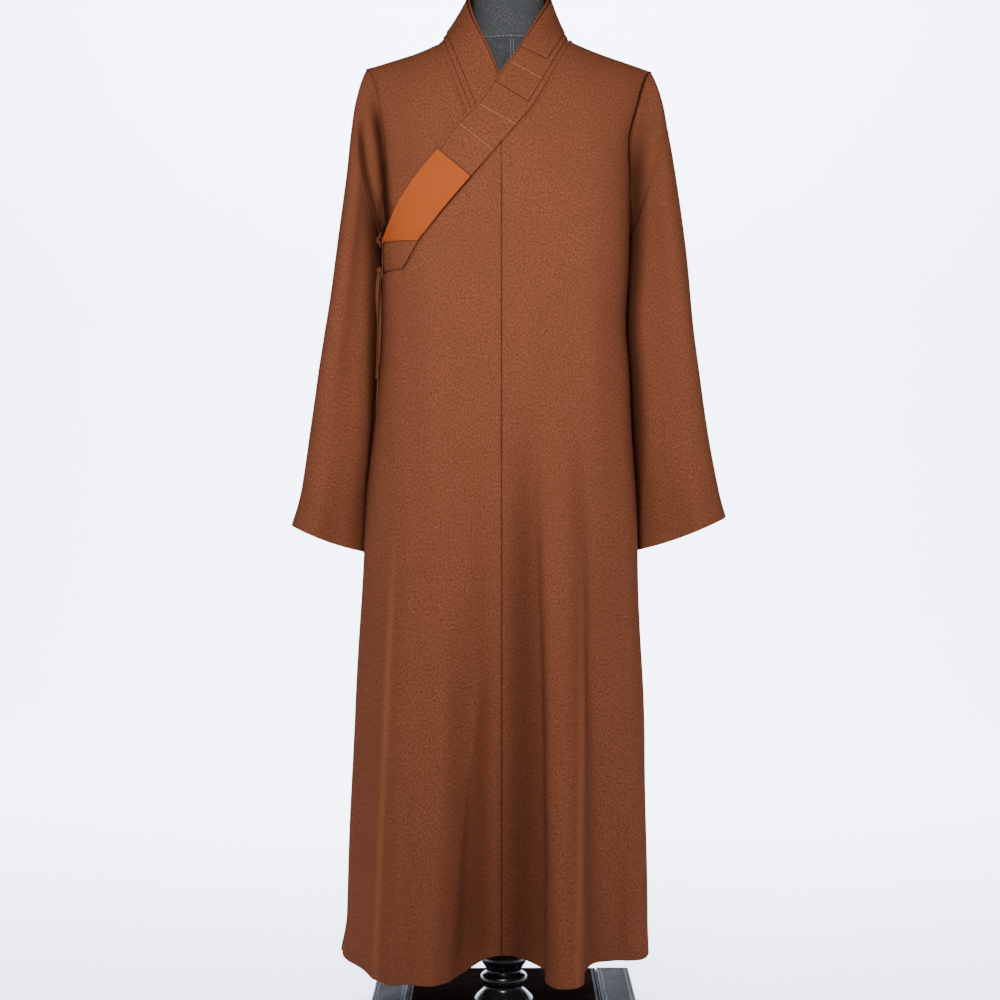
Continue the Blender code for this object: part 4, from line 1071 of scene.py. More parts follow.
STITCH_NODES = {
    "given": "NodeGroupInput", "made": "NodeGroupOutput", "curve": "GeometryNodeMeshToCurve",
    "evenly": "GeometryNodeResampleCurve", "bead": "GeometryNodeMeshUVSphere",
    "tangent": "GeometryNodeInputTangent", "turn": "FunctionNodeAlignRotationToVector",
    "size": "ShaderNodeCombineXYZ", "many": "GeometryNodeInstanceOnPoints",
    "real": "GeometryNodeRealizeInstances", "paint": "GeometryNodeSetMaterial",
}
STITCH_LINKS = (
    ("given", "Line", "curve", "Mesh"), ("curve", "Curve", "evenly", "Curve"),
    ("given", "Pitch", "evenly", "Length"), ("evenly", "Curve", "many", "Points"),
    ("bead", "Mesh", "many", "Instance"), ("tangent", "Tangent", "turn", "Vector"),
    ("turn", "Rotation", "many", "Rotation"), ("given", "Thread", "size", "X"),
    ("given", "Thread", "size", "Y"), ("given", "Stitch Length", "size", "Z"),
    ("size", "Vector", "many", "Scale"), ("many", "Instances", "real", "Geometry"),
    ("real", "Geometry", "paint", "Geometry"), ("given", "Material", "paint", "Material"),
    ("paint", "Geometry", "made", "Stitches"),
)


def stitch_tree():
    """Geometry Nodes: a row of thread stitches along a line of edges."""
    tree = bpy.data.node_groups.get("stitch_row")
    if tree:
        return tree
    tree = bpy.data.node_groups.new("stitch_row", "GeometryNodeTree")
    for name, way, kind, size in STITCH_SOCKETS:
        socket = tree.interface.new_socket(name=name, in_out=way, socket_type="NodeSocket" + kind)
        if size:
            socket.default_value, socket.subtype = size, "DISTANCE"
    made = {name: tree.nodes.new(kind) for name, kind in STITCH_NODES.items()}
    made["evenly"].mode = "LENGTH"
    made["turn"].axis = "Z"
    for name, value in (("Segments", 6), ("Rings", 4), ("Radius", 0.5)):
        made["bead"].inputs[name].default_value = value
    for first, output, second, given in STITCH_LINKS:
        tree.links.new(made[first].outputs[output], made[second].inputs[given])
    return tree


def stitches(name, lines, kind):
    """One mesh of stitches along several lines of points."""
    sewn = next(row for row in entries(SEWING) if row["kind"] == kind)
    starts = np.cumsum([0] + [len(line) for line in lines])
    edges = [(i, i + 1) for first, end in zip(starts, starts[1:]) for i in range(first, end - 1)]
    path = bpy.data.meshes.new(name + "_line")
    path.from_pydata(np.concatenate(lines).tolist(), edges, [])
    carrier = bpy.data.objects.new(name + "_line", path)
    bpy.context.scene.collection.objects.link(carrier)
    sewing = carrier.modifiers.new("sewing", "NODES")
    sewing.node_group = stitch_tree()
    values = {"Stitch Length": sewn["length"], "Thread": sewn["width"],
              "Pitch": sewn["pitch"] or bpy.context.scene.robe_collar.stitch_pitch,
              "Material": bpy.data.materials[sewn["thread"]]}
    for item in sewing.node_group.interface.items_tree:
        if item.in_out == "INPUT" and item.name in values:
            sewing[item.identifier] = values[item.name]
    mesh = bpy.data.meshes.new_from_object(carrier.evaluated_get(bpy.context.evaluated_depsgraph_get()))
    bpy.data.objects.remove(carrier, do_unlink=True)
    bpy.data.meshes.remove(path)
    mesh.name = name
    mesh.shade_smooth()
    return put(name, mesh, sewn["thread"])


# ------------------------------------------------------------------ finishes
class Finish:
    """A new material and the nodes it is made of: gloss is the strength of its mirror light."""

    def __init__(self, name, roughness, gloss=0.5, sheen=0.0, sheen_tint=(1.0, 1.0, 1.0), coat=0.0):
        self.material = bpy.data.materials.new(name)
        self.material.use_nodes = True
        self.tree = self.material.node_tree
        self.shader = self.tree.nodes["Principled BSDF"]
        self.fill(self.shader, Roughness=roughness, Specular_IOR_Level=gloss, Sheen_Weight=sheen,
                  Sheen_Roughness=0.5, Sheen_Tint=(*sheen_tint, 1.0), Coat_Weight=coat,
                  Coat_Roughness=0.08)
        self.place = self.node("ShaderNodeTexCoord").outputs
        self.spot, self.flat = self.place["Object"], self.place["UV"]

    def give(self, socket, value):
        """Links another socket to this one, or sets its value."""
        if isinstance(value, bpy.types.NodeSocket):
            self.tree.links.new(value, socket)
        else:
            socket.default_value = value

    def fill(self, made, **inputs):
        for name, value in inputs.items():
            self.give(made.inputs[name.replace("_", " ")], value)

    def node(self, kind, **inputs):
        made = self.tree.nodes.new(kind)
        self.fill(made, **inputs)
        return made

    def noise(self, vector, scale, detail=2.0, roughness=0.5, stretch=None):
        if stretch:
            vector = self.node("ShaderNodeMapping", Vector=vector, Scale=stretch).outputs["Vector"]
        return self.node("ShaderNodeTexNoise", Vector=vector, Scale=scale, Detail=detail,
                         Roughness=roughness).outputs["Fac"]

    def remap(self, value, low, high, to_low, to_high):
        return self.node("ShaderNodeMapRange", Value=value, From_Min=low, From_Max=high,
                         To_Min=to_low, To_Max=to_high).outputs["Result"]

    def stored(self, name):
        """The value that a piece keeps for each of its points, and 0 on a piece without it."""
        made = self.node("ShaderNodeAttribute")
        made.attribute_name = name
        return made.outputs["Fac"]

    def product(self, first, second):
        made = self.node("ShaderNodeMath")
        made.operation = "MULTIPLY"
        self.give(made.inputs[0], first)
        self.give(made.inputs[1], second)
        return made.outputs["Value"]

    def bands(self, period, direction):
        """Ridges along U or V, one in each period, from 0 to 1."""
        made = self.node("ShaderNodeTexWave", Vector=self.flat, Scale=2 * math.pi / (20 * period))
        made.bands_direction = direction
        made.wave_profile = "SIN"
        return made.outputs["Fac"]

    def paint(self, base, *layers):
        """Lays colours over a base, each as much as its pattern says, or from low to high in it."""
        for colour, pattern, *span in layers:
            if span:
                low, high, share = span
                pattern = self.remap(pattern, low, high, 0.0, share)
            made = self.node("ShaderNodeMix")
            made.data_type = "RGBA"
            for place, value in ((0, pattern), (6, base), (7, colour)):
                self.give(made.inputs[place], (*value, 1.0) if isinstance(value, tuple) else value)
            base = made.outputs[2]
        self.give(self.shader.inputs["Base Color"], base)

    def bump(self, *layers):
        """Stacks bump layers of (height, distance in metres)."""
        normal = None
        for height, distance in layers:
            made = self.node("ShaderNodeBump", Height=height, Strength=1.0, Distance=distance)
            if normal is not None:
                self.give(made.inputs["Normal"], normal)
            normal = made.outputs["Normal"]
        self.give(self.shader.inputs["Normal"], normal)


def tone(colour, factor):
    return tuple(channel * factor for channel in colour)


def warmed(colour, factor):
    """A slightly yellower tone of a colour."""
    return tuple(channel * factor * shift for channel, shift in zip(colour, (0.94, 1.04, 0.80)))


CLOTH_GLOSS = 0.0
THREAD_GLOSS = 0.05
NAP_TINT = (0.50, 0.20, 0.10)
RIB_TINT = (0.9, 0.4, 0.15)
WORN_LACQUER = (0.045, 0.020, 0.012)
DUST = (0.16, 0.15, 0.14)
# colour of the painted highlight on the base's sloping bevels
BEVEL_HIGHLIGHT = (0.28, 0.30, 0.31)
GREY_THREAD = (0.36, 0.38, 0.40)


def make_wool(colour, settings):
    """Fulled wool: flecked yarn, a fine weave under the nap, and slow changes of tone."""
    wool = Finish("wool", 0.93, CLOTH_GLOSS, settings.nap, NAP_TINT)
    fleck = wool.noise(wool.flat, settings.fleck_scale, 3.0, 0.75, stretch=(1.0, 0.70, 1.0))
    fuzz = wool.noise(wool.spot, settings.fleck_scale * 3.0, 1.0)
    cloud = wool.noise(wool.spot, 64.0, 3.0, 0.6)
    slow = wool.noise(wool.spot, 9.0, 3.0, 0.55)
    streak = wool.noise(wool.flat, 300.0, 2.0, stretch=(1.0, 0.10, 1.0))
    wool.paint(tone(colour, 0.48),
               (tone(colour, 1.52), fleck, 0.36, 0.64, 1.0),
               (tone(colour, 1.12), streak, 0.35, 0.65, 0.40),
               (warmed(colour, 0.90), cloud, 0.35, 0.65, 0.30),
               (tone(colour, 0.88), slow, 0.35, 0.65, 0.30),
               # worn nap and a painted highlight along the pressed creases
               (warmed(colour, 2.2), wool.stored("rub")),
               # darker where "deep" is stored: painted shade in the folds, the armhole folds and the
               # sleeves' inner sides, and the darker ties
               (tone(colour, 0.22), wool.stored("deep")))
    weave = wool.product(wool.bands(settings.thread_pitch, "X"),
                         wool.bands(settings.thread_pitch * 1.15, "Y"))
    wool.bump((fleck, 0.0005), (fuzz, 0.0002), (weave, 0.0002))


def make_patch_cloth(colour, settings):
    """Ribbed orange cloth: the ribs run across the collar."""
    ribbed = Finish("ribbed_orange", 0.85, CLOTH_GLOSS, 0.03, RIB_TINT)
    ribs = ribbed.bands(settings.rib_pitch, "Y")
    yarn = ribbed.noise(ribbed.flat, 900.0, 2.0, 0.6, stretch=(0.4, 1.0, 1.0))
    slow = ribbed.noise(ribbed.spot, 26.0, 2.0)
    ribbed.paint(tone(colour, 0.70),
                 (tone(colour, 1.12), ribs, 0.0, 0.7, 1.0),
                 (tone(colour, 1.25), yarn, 0.3, 0.7, 0.30),
                 (tone(colour, 0.85), slow, 0.3, 0.7, 0.25))
    ribbed.bump((ribs, 0.0003), (yarn, 0.0002))


def make_thread(name, colour):
    """Twisted sewing thread."""
    thread = Finish(name, 0.9, THREAD_GLOSS)
    strand = thread.noise(thread.spot, 2500.0, 1.0)
    thread.paint(tone(colour, 0.85), (tone(colour, 1.12), strand))
    thread.bump((strand, 0.0001))


def make_form_cloth(colour):
    """The form's cover: a close charcoal linen with pale and dark yarns."""
    linen = Finish("charcoal_linen", 0.9, 0.15)
    yarns = linen.product(linen.bands(0.0016, "X"), linen.bands(0.0016, "Y"))
    slub = linen.noise(linen.spot, 620.0, 3.0, 0.7, stretch=(1.0, 1.0, 0.7))
    slow = linen.noise(linen.spot, 30.0, 3.0)
    linen.paint(tone(colour, 0.45),
                (tone(colour, 1.8), slub, 0.36, 0.66, 1.0),
                (tone(colour, 0.8), slow, 0.3, 0.7, 0.4))
    linen.bump((slub, 0.0004), (yarns, 0.0003))


def make_lacquer(colour):
    """Gloss black lacquer, faintly uneven, with rubbed brown where it is worn."""
    lacquer = Finish("black_lacquer", 0.2, 0.4, coat=0.2)
    wave = lacquer.noise(lacquer.spot, 60.0, 2.0)
    worn = lacquer.noise(lacquer.spot, 130.0, 4.0, 0.7, stretch=(1.0, 1.0, 0.3))
    lacquer.paint(colour, (WORN_LACQUER, worn, 0.55, 0.8, 0.5))
    lacquer.fill(lacquer.shader, Roughness=lacquer.remap(worn, 0.3, 0.8, 0.20, 0.38))
    lacquer.bump((wave, 0.0004))


def make_stained_wood(name, colour, settings, gloss):
    """Dark stained wood with its grain along X, and a painted highlight on its sloping edges."""
    wood = Finish(name, 0.5, gloss)
    grain = wood.noise(wood.spot, 16.0, 6.0, 0.65, stretch=(0.9, 14.0, 14.0))
    pores = wood.noise(wood.spot, 22.0, 2.0, 0.7, stretch=(3.0, 60.0, 60.0))
    dust = wood.noise(wood.spot, 35.0, 4.0, 0.65)
    upward = wood.node("ShaderNodeSeparateXYZ", Vector=wood.place["Normal"]).outputs["Z"]
    # painted highlight: facets that slope up, the moulding's bevels, are made pale
    sloping = wood.product(wood.remap(upward, 0.96, 0.88, 0.0, 1.0),
                           wood.remap(upward, 0.10, 0.35, 0.0, settings.rubbed))
    wood.paint(tone(colour, 0.55),
               (tone(colour, 1.7), grain, 0.34, 0.70, 1.0),
               (tone(colour, 0.3), pores, 0.55, 0.75, 0.6),
               (DUST, dust, 0.5, 0.85, settings.dust),
               (BEVEL_HIGHLIGHT, sloping))
    wood.fill(wood.shader, Roughness=wood.remap(dust, 0.3, 0.8, 0.60, 0.85))
    wood.bump((grain, 0.0004), (pores, 0.0003))


def make_floor(colour):
    """A pale studio surface, very slightly mottled."""
    floor = Finish("floor", 0.75)
    floor.paint(tone(colour, 0.985), (tone(colour, 1.015), floor.noise(floor.spot, 5.0, 3.0)))
    return floor.material


# ------------------------------------------------------------------ what a user may change
def colour_field(name, description, default):
    return FloatVectorProperty(name=name, description=description, subtype="COLOR", size=3,
                               min=0.0, max=1.0, default=default)


def share_field(name, description, default, most=1.0):
    return FloatProperty(name=name, description=description, default=default, min=0.0, max=most,
                         subtype="FACTOR")


def length_field(name, description, default, least, most):
    return FloatProperty(name=name, description=description, default=default, min=least, max=most,
                         unit="LENGTH")


def power_field(name, description, default):
    return FloatProperty(name=name, description=description, default=default, min=0.0, unit="POWER")


class RobeClothSettings(bpy.types.PropertyGroup):
    wool_colour: colour_field("Wool Colour", "Colour of the robe's wool", (0.124, 0.0390, 0.0198))
    nap: share_field("Nap", "Sheen of the wool's raised fibres", 0.02)
    fleck_scale: FloatProperty(
        name="Fleck Scale", description="Flecks of the yarn in a metre of cloth", default=400.0,
        min=100.0, max=2000.0)
    thread_pitch: length_field("Thread Pitch", "Distance between the yarns of the weave",
                               0.0010, 0.0003, 0.0050)
    ripple: share_field("Ripple", "Strength of the light ripples between the large folds", 1.0, 2.0)
    hem_depth: length_field("Hem Depth", "How far the hem is turned up inside", 0.046, 0.010, 0.080)
    cuff_depth: length_field("Cuff Depth", "How far each cuff is turned in", 0.040, 0.010, 0.060)


class RobeCollarSettings(bpy.types.PropertyGroup):
    patch_colour: colour_field("Patch Colour", "Colour of the ribbed patch", (0.258, 0.0545, 0.0130))
    rib_pitch: length_field("Rib Pitch", "Distance between the patch's ribs", 0.0027, 0.0008, 0.0060)
    thread_colour: colour_field("Thread Colour", "Colour of the pale rows of sewing",
                                (0.30, 0.135, 0.075))
    stitch_pitch: length_field("Stitch Pitch", "Distance from one stitch to the next",
                               0.0030, 0.0015, 0.0100)


class RobeFormSettings(bpy.types.PropertyGroup):
    cover_colour: colour_field("Cover Colour", "Colour of the form's cloth cover", (0.036, 0.037, 0.039))
    lacquer_colour: colour_field("Lacquer Colour", "Colour of the post's lacquer", (0.009, 0.008, 0.008))
    stain_colour: colour_field("Stain Colour", "Colour of the base's stain", (0.019, 0.012, 0.010))
    dust: share_field("Dust", "How much pale dust lies on the base", 0.08)
    # strength of the painted highlight on the base's sloping edges
    rubbed: share_field("Bevel Highlight", "How far the base's sloping edges are rubbed pale", 0.7)
    post_sides: IntProperty(
        name="Post Sides", description="Sides of the turned post", default=96, min=24, max=256)


class RobeStageSettings(bpy.types.PropertyGroup):
    floor_colour: colour_field("Floor Colour", "Colour of the floor and the backdrop", (0.74, 0.79, 0.93))
    key_power: power_field("Key Power", "Power of the soft light in front", 21.2)
    backdrop_power: power_field("Backdrop Power", "Power of the light on the backdrop", 1350.0)
    world_strength: FloatProperty(
        name="World Strength", description="Strength of the even light all round", default=0.20, min=0.0)


class ROBE_OT_finishes(bpy.types.Operator):
    """Make the materials of the robe, the form, the post and the base"""
    bl_idname = "robe.finishes"
    bl_label = "Finishes"

    def execute(self, context):
        scene = context.scene
        cloth_set, collar_set, form_set = scene.robe_cloth, scene.robe_collar, scene.robe_form
        wool, orange = tuple(cloth_set.wool_colour), tuple(collar_set.patch_colour)
        stain = tuple(form_set.stain_colour)
        make_wool(wool, cloth_set)
        make_patch_cloth(orange, collar_set)
        make_thread("pale_thread", tuple(collar_set.thread_colour))
        # sewing darkened as painted shade along the seams and at the collar layers' feet
        make_thread("dark_thread", tone(wool, 0.18))
        # pale lines of painted highlight on the collar layers' edges
        make_thread("light_thread", tone(wool, 1.5))
        make_thread("grey_thread", GREY_THREAD)
        make_thread("orange_thread", tone(orange, 1.15))
        make_form_cloth(tuple(form_set.cover_colour))
        make_lacquer(tuple(form_set.lacquer_colour))
        make_stained_wood("rail_stain", stain, form_set, 0.04)
        make_stained_wood("board_stain", tone(stain, 0.8), form_set, 0.0)
        return {"FINISHED"}


FRONT_SEAM_TOP = 1.340           # the two middle seams start under the collar
BACK_SEAM_TOP = 1.474
SEAM_FOOT = 0.002                # and end this far above the hem
SEAM_SINK = 0.8                  # a seam's thread is this share of the way down its dip
HEM_TURN = 87.0                  # degrees that the hem's stitches reach to each side
ARMHOLE_TOP = 1.97               # level at which the armholes' sewing ends
ARMHOLE_SINK = 0.0016            # its depth below the body's surface


def sew_panels(name, face, x, top):
    """The dark line of a middle seam, and the row of small stitches that holds the hem."""
    z = np.linspace(top, HEM + SEAM_FOOT, 420)
    seam = robe_point(face, np.full(z.shape, x), z, drape(face, x, z) - SEAM_DIP * SEAM_SINK)
    stitches(name + "_seam_sewing", [seam], "seam")
    turn = np.linspace(-HEM_TURN, HEM_TURN, 500)
    level = bpy.context.scene.robe_cloth.hem_depth / (ROLL - HEM)
    x, z = on_row(face, np.full(turn.shape, level), turn)
    stitches(name + "_hem_sewing", [robe_point(face, x, z, drape(face, x, z))], "hem")


def armhole_line(side, face):
    """The line where a sleeve is sewn into the front or the back."""
    level = np.linspace(ARMPIT_LEVEL, ARMHOLE_TOP, 200)
    x, z = on_row(face, level, side * armhole_turn(level))
    return robe_point(face, x, z, drape(face, x, z) - ARMHOLE_SINK)


class ROBE_OT_fronts(bpy.types.Operator):
    """Build the left front, the overlap on it and the inner right front"""
    bl_idname = "robe.fronts"
    bl_label = "Fronts"

    def execute(self, context):
        left = cloth("front_left_cloth", hemmed(front_left_points()))
        points, keep = front_overlap_points()
        folded = hemmed(points)
        keep = np.concatenate([np.repeat(keep[:1], len(folded) - len(points), 0), keep])
        overlap = cloth("front_overlap_cloth", folded, keep=keep)
        under = cloth("front_under_cloth", hemmed(front_under_points()))
        for item, node_name in ((left, "front_left"), (overlap, "front_overlap"), (under, "front_under")):
            store_rub_and_shade(item, -1, node_name)
            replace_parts(item, node_name)
        sew_panels("front", -1, SEAM_X, FRONT_SEAM_TOP)
        return {"FINISHED"}


class ROBE_OT_backs(bpy.types.Operator):
    """Build the two back panels"""
    bl_idname = "robe.backs"
    bl_label = "Backs"

    def execute(self, context):
        for node_name, side in (("back_left", 1), ("back_right", -1)):
            item = cloth(node_name + "_cloth", hemmed(back_points(side)))
            store_rub_and_shade(item, 1)
            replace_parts(item, node_name)
        sew_panels("back", 1, BACK_SEAM_X, BACK_SEAM_TOP)
        return {"FINISHED"}


class ROBE_OT_sleeves(bpy.types.Operator):
    """Build the two sleeves, open at the cuff"""
    bl_idname = "robe.sleeves"
    bl_label = "Sleeves"

    def execute(self, context):
        depth = context.scene.robe_cloth.cuff_depth
        sleeves = (("left", 1, SLEEVE_LEFT, (-1, 1)), ("right", -1, SLEEVE_RIGHT, (1,)))
        for name, side, table, faces in sleeves:
            points = sleeve_points(side, table)
            normal = outward(points, closed=True)
            run = np.linalg.norm(points[-1] - points, axis=-1).mean(1)
            row = points[int(np.argmin(np.abs(run - depth)))]
            points = turned_in(points[::-1], normal[::-1], depth)[::-1]
            item = cloth("sleeve_" + name + "_cloth", points, closed=True)
            paint_inner_shade(item, side)
            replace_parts(item, "sleeve_" + name)
            stitches(name + "_cuff_sewing", [np.concatenate([row, row[:1]])], "hem")
            stitches(name + "_armhole_sewing", [armhole_line(side, face) for face in faces], "armhole")
        return {"FINISHED"}


class ROBE_OT_collar(bpy.types.Operator):
    """Build the collar band, the two layers on it and the ribbed patch"""
    bl_idname = "robe.collar"
    bl_label = "Collar"

    def execute(self, context):
        low, wool = BAND_RISE + LIFT, ("wool", "robe_wool")
        straps = [("collar_band", 0.0, COLLAR_END, 0.0, 1.0, BAND_RISE - FOLDED, BAND_RISE, *wool)]
        for count, layer in enumerate(COLLAR_LAYERS[1:]):
            under = low + count * (LAYER + LIFT)
            straps.append((*layer, under, under + LAYER, *wool))
        straps.append(("collar_patch", *PATCH, 0.0, 1.0, low, low + LAYER, "ribbed_orange",
                       "patch_cloth", PATCH_RIM))
        for node_name, *shape in straps:
            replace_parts(strap(node_name + "_cloth", *shape), node_name)
        return {"FINISHED"}


FOOT, FOOT_END = 0.008, 0.012    # the dark thread of painted shade is this far outside a layer, across and along
HIGHLIGHT_INSET, HIGHLIGHT_END = 0.012, 0.02     # and the pale line of painted highlight this far inside its edges
HIGHLIGHT_STOP = 0.03                 # the painted highlights along a layer stop this far from its end
PATCH_INSET, PATCH_EDGE = 0.06, 0.045    # the patch's sewing, in from its ends and its sides


def along_collar(start, end, share, out):
    """A line of points along the collar."""
    return collar_point(np.linspace(start, end, int((end - start) * 12) + 2), share, out)


def across_collar(station, first, last, out):
    """A line of points across the collar."""
    return collar_point(station, np.linspace(first, last, 24), out)


class ROBE_OT_sewing(bpy.types.Operator):
    """Sew the collar's layers and its patch, with painted shade at the layers' feet and painted highlights
    on their edges
    """
    bl_idname = "robe.sewing"
    bl_label = "Sewing"

    def execute(self, context):
        band, middle = BAND_RISE, BAND_RISE + LIFT + LAYER
        pale = [across_collar(row["station"], row["first"], row["last"], (band, middle)[row["layers"]])
                for row in entries(PALE_ROWS)]
        stitches("collar_rows_sewing", pale, "row")
        # dark: near-black stitches, painted shade at the layers' feet and round the patch
        dark, light = [], []
        for layer, below in zip(entries(COLLAR_LAYERS), (band, middle)):
            start, end, free, sewn = (layer[key] for key in ("start", "end", "free", "sewn"))
            dark += [along_collar(start, end, share, below) for share in (free - FOOT, sewn + FOOT)]
            dark.append(across_collar(end + FOOT_END, free, sewn, below))
            # light: pale lines of painted highlight just inside the layer's edges
            free, sewn = free + HIGHLIGHT_INSET, sewn - HIGHLIGHT_INSET
            light += [along_collar(start, end - HIGHLIGHT_STOP, share, below + LAYER) for share in (free, sewn)]
            light.append(across_collar(end - HIGHLIGHT_END, free, sewn, below + LAYER))
        first, last = PATCH
        layer = entries(COLLAR_LAYERS)[0]
        dark += [along_collar(layer["end"], first, layer["free"], band),
                 across_collar(first - FOOT_END, 0.0, 1.0, band),
                 across_collar(last + FOOT_END, 0.0, 1.0, band),
                 along_collar(first, COLLAR_END, 1 + FOOT_END, 0.0)]
        stitches("collar_edge_shade_sewing", dark, "edge")
        # the pale lines are painted highlights on the layers' edges
        stitches("collar_edge_highlights", light, "fold")
        first, last = first + PATCH_INSET, last - PATCH_INSET
        orange = [along_collar(first, last, share, middle) for share in (PATCH_EDGE, 1 - PATCH_EDGE)]
        orange += [across_collar(station, 0.05, 0.95, middle) for station in (first, last)]
        stitches("patch_sewing", orange, "patch")
        return {"FINISHED"}


def strand_points(points, turns, steps=90, sides=20):
    """A flat strand's sections, which turn slowly as they go down."""
    along = np.linspace(0, len(points) - 1, steps)
    middle = joined(*(smooth(np.arange(len(points)), axis, along) for axis in zip(*points)))
    angle = np.radians(TIE_FACING) + np.radians(turns) * np.sin(along * 2.1)
    wide, thin = joined(np.cos(angle), np.sin(angle), 0.0), joined(np.sin(angle), -np.cos(angle), 0.0)
    swing = ring_angles(sides)[None, :, None]
    ribbed = TIE_THICK / 2 * (1 + 0.9 * np.cos(swing)**6)
    return (middle[:, None] + wide[:, None] * np.cos(swing) * TIE_WIDTH / 2
            + thin[:, None] * np.sin(swing) * ribbed)


def wound(coil, steps=90, sides=12):
    """A short strand wound on itself, which makes a knot or a bent tab."""
    x, y, z = coil["middle"]
    across, along = coil["across"], np.linspace(0, 1, steps)
    angle = 2 * math.pi * coil["turns"] * along
    taper = across * np.sin(math.pi * np.clip(along, 0.04, 0.96))**0.5
    line = joined(x + 0.55 * taper * np.cos(angle), y + 0.75 * taper * np.sin(angle),
                  z + coil["high"] * (0.9 - 1.8 * along))
    ahead = unit(np.gradient(line, axis=0))
    aside = unit(np.cross(ahead, np.array([0.0, 0.0, 1.0])))
    swing = ring_angles(sides)[None, :, None]
    return line[:, None] + 0.52 * taper[:, None, None] * (
        aside[:, None] * np.cos(swing) + np.cross(aside, ahead)[:, None] * np.sin(swing))


class ROBE_OT_ties(bpy.types.Operator):
    """Build the knot, its tab and the two hanging strands"""
    bl_idname = "robe.ties"
    bl_label = "Ties"

    def execute(self, context):
        pieces = {strand["name"]: strand_points(strand["points"], strand["turns"])
                  for strand in entries(TIE_STRANDS)}
        pieces.update({coil["name"]: wound(coil) for coil in entries(TIE_COILS)})
        for node_name, points in pieces.items():
            item = skin(node_name + "_cloth", points, "wool")
            store(item, "deep", np.full(len(item.data.vertices), TIE_DARK))
            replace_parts(item, node_name)
        return {"FINISHED"}


# ------------------------------------------------------------------ the dress form
FORM_SEAM = 1.478                # the neck piece is sewn on here
FORM_CENTRE = 0.012              # and a seam runs down the middle of the front
GROOVE = 0.0009                  # depth of the cover's seams
GROOVE_REACH = 0.0016
FORM_ROWS = ((0.7700, 0.7760, 6), (0.7800, 1.40, 90), (1.404, 1.5890, 110), (1.5895, 1.6050, 24))


def form_point(height, angle):
    """The form's surface: a round section that keeps clear of the robe round it."""
    height, angle = np.broadcast_arrays(np.asarray(height, float), np.asarray(angle, float))
    value = {name: look_up(FORM, "height", name, height) for name in FORM[0]}
    face = np.where(np.sin(angle) < 0, -1, 1)
    x = value["x"] + value["half"] * np.cos(angle)
    depth = np.where(face < 0, value["front"], value["back"]) * np.abs(np.sin(angle))
    room = np.abs(np.where(face < 0, robe_y(-1, x, height), robe_y(1, x, height)))
    kept = np.minimum(depth, np.maximum(FORM_THINNEST, room - FORM_CLEARANCE))
    return joined(x, face * np.where(height < FORM_SEAM, kept, depth), height)


class ROBE_OT_form(bpy.types.Operator):
    """Build the cloth-covered form with the seams of its cover"""
    bl_idname = "robe.form"
    bl_label = "Dress Form"

    def execute(self, context):
        heights = np.concatenate([np.linspace(*rows) for rows in FORM_ROWS])[:, None]
        points = form_point(heights, ring_angles(160)[None, :])
        seam = hump(heights, FORM_SEAM, GROOVE_REACH)
        centre = (hump(points[..., 0], FORM_CENTRE, GROOVE_REACH) * (points[..., 1] < 0)
                  * (heights < FORM_SEAM))
        points = points - outward(points, closed=True) * (GROOVE * np.maximum(seam, centre))[..., None]
        item = skin("form_torso_cover", points, "charcoal_linen")
        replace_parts(item, "form_torso")
        lines = [form_point(FORM_SEAM + 0.0022, np.linspace(-math.pi, math.pi, 240))]
        down = np.linspace(FORM_SEAM - 0.001, 1.36, 60)
        for aside in (-0.0020, 0.0020):
            away = FORM_CENTRE + aside - look_up(FORM, "height", "x", down)
            lines.append(form_point(down, -np.arccos(away / look_up(FORM, "height", "half", down))))
        stitches("form_cover_sewing", lines, "cover")
        return {"FINISHED"}


POST_TURNED = 0.19               # the post is plain above this height
POST_EDGE = 0.0004               # width of its two end edges


class ROBE_OT_post(bpy.types.Operator):
    """Turn the lacquered post"""
    bl_idname = "robe.post"
    bl_label = "Post"

    def execute(self, context):
        heights, radii = column(POST, "height")[::-1], column(POST, "radius")[::-1]
        fine = np.unique(np.concatenate([np.linspace(heights[0], POST_TURNED, 150), heights,
                                         [heights[0] + POST_EDGE, heights[-1] - POST_EDGE]]))[:, None]
        radius, swing = smooth(heights, radii, fine), ring_angles(context.scene.robe_form.post_sides)
        points = joined(radius * np.cos(swing), radius * np.sin(swing), fine)
        item = skin("form_post_turned", points, "black_lacquer")
        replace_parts(item, "form_post")
        return {"FINISHED"}


RAIL_MOULD = (
    ("inset", "height"),
    (0.0000, 0.0000),
    (0.0000, 0.0405),
    (0.0004, 0.0427),
    (0.0014, 0.0440),
    (0.0030, 0.0449),
    (0.0048, 0.0450),
    (0.0052, 0.0450),
    (0.0066, 0.0441),
    (0.0070, 0.0441),
    (0.0086, 0.0450),
    (0.0110, 0.0450),
)


def plank(name, low, high, material):
    """A board with the moulding run all round its top edge."""
    rings = []
    for inset, height in RAIL_MOULD[1:]:
        x0, y0, x1, y1 = low[0] + inset, low[1] + inset, high[0] - inset, high[1] - inset
        z = height * high[2] / BASE_HEIGHT
        rings.append([(x0, y0, z), (x1, y0, z), (x1, y1, z), (x0, y1, z)])
    item = skin(name, np.array(rings), material)
    item.data.shade_flat()
    return item


class ROBE_OT_base(bpy.types.Operator):
    """Build the stained board and its two side rails"""
    bl_idname = "robe.base"
    bl_label = "Base"

    def execute(self, context):
        for node_name, material in (("base_board", "board_stain"), ("base_rail_left", "rail_stain"),
                                    ("base_rail_right", "rail_stain")):
            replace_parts(plank(node_name + "_wood", *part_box(node_name), material), node_name)
        return {"FINISHED"}


# ------------------------------------------------------------------ the stage
CAMERA_PLACE = (-0.00576, -3.0, 0.85795)
CAMERA_TILT = 0.02               # radians below the level
CAMERA_LENS = 72.06


CAMERA_SENSOR = 36.0
WORLD_COLOUR = (0.90, 0.95, 1.0, 1.0)
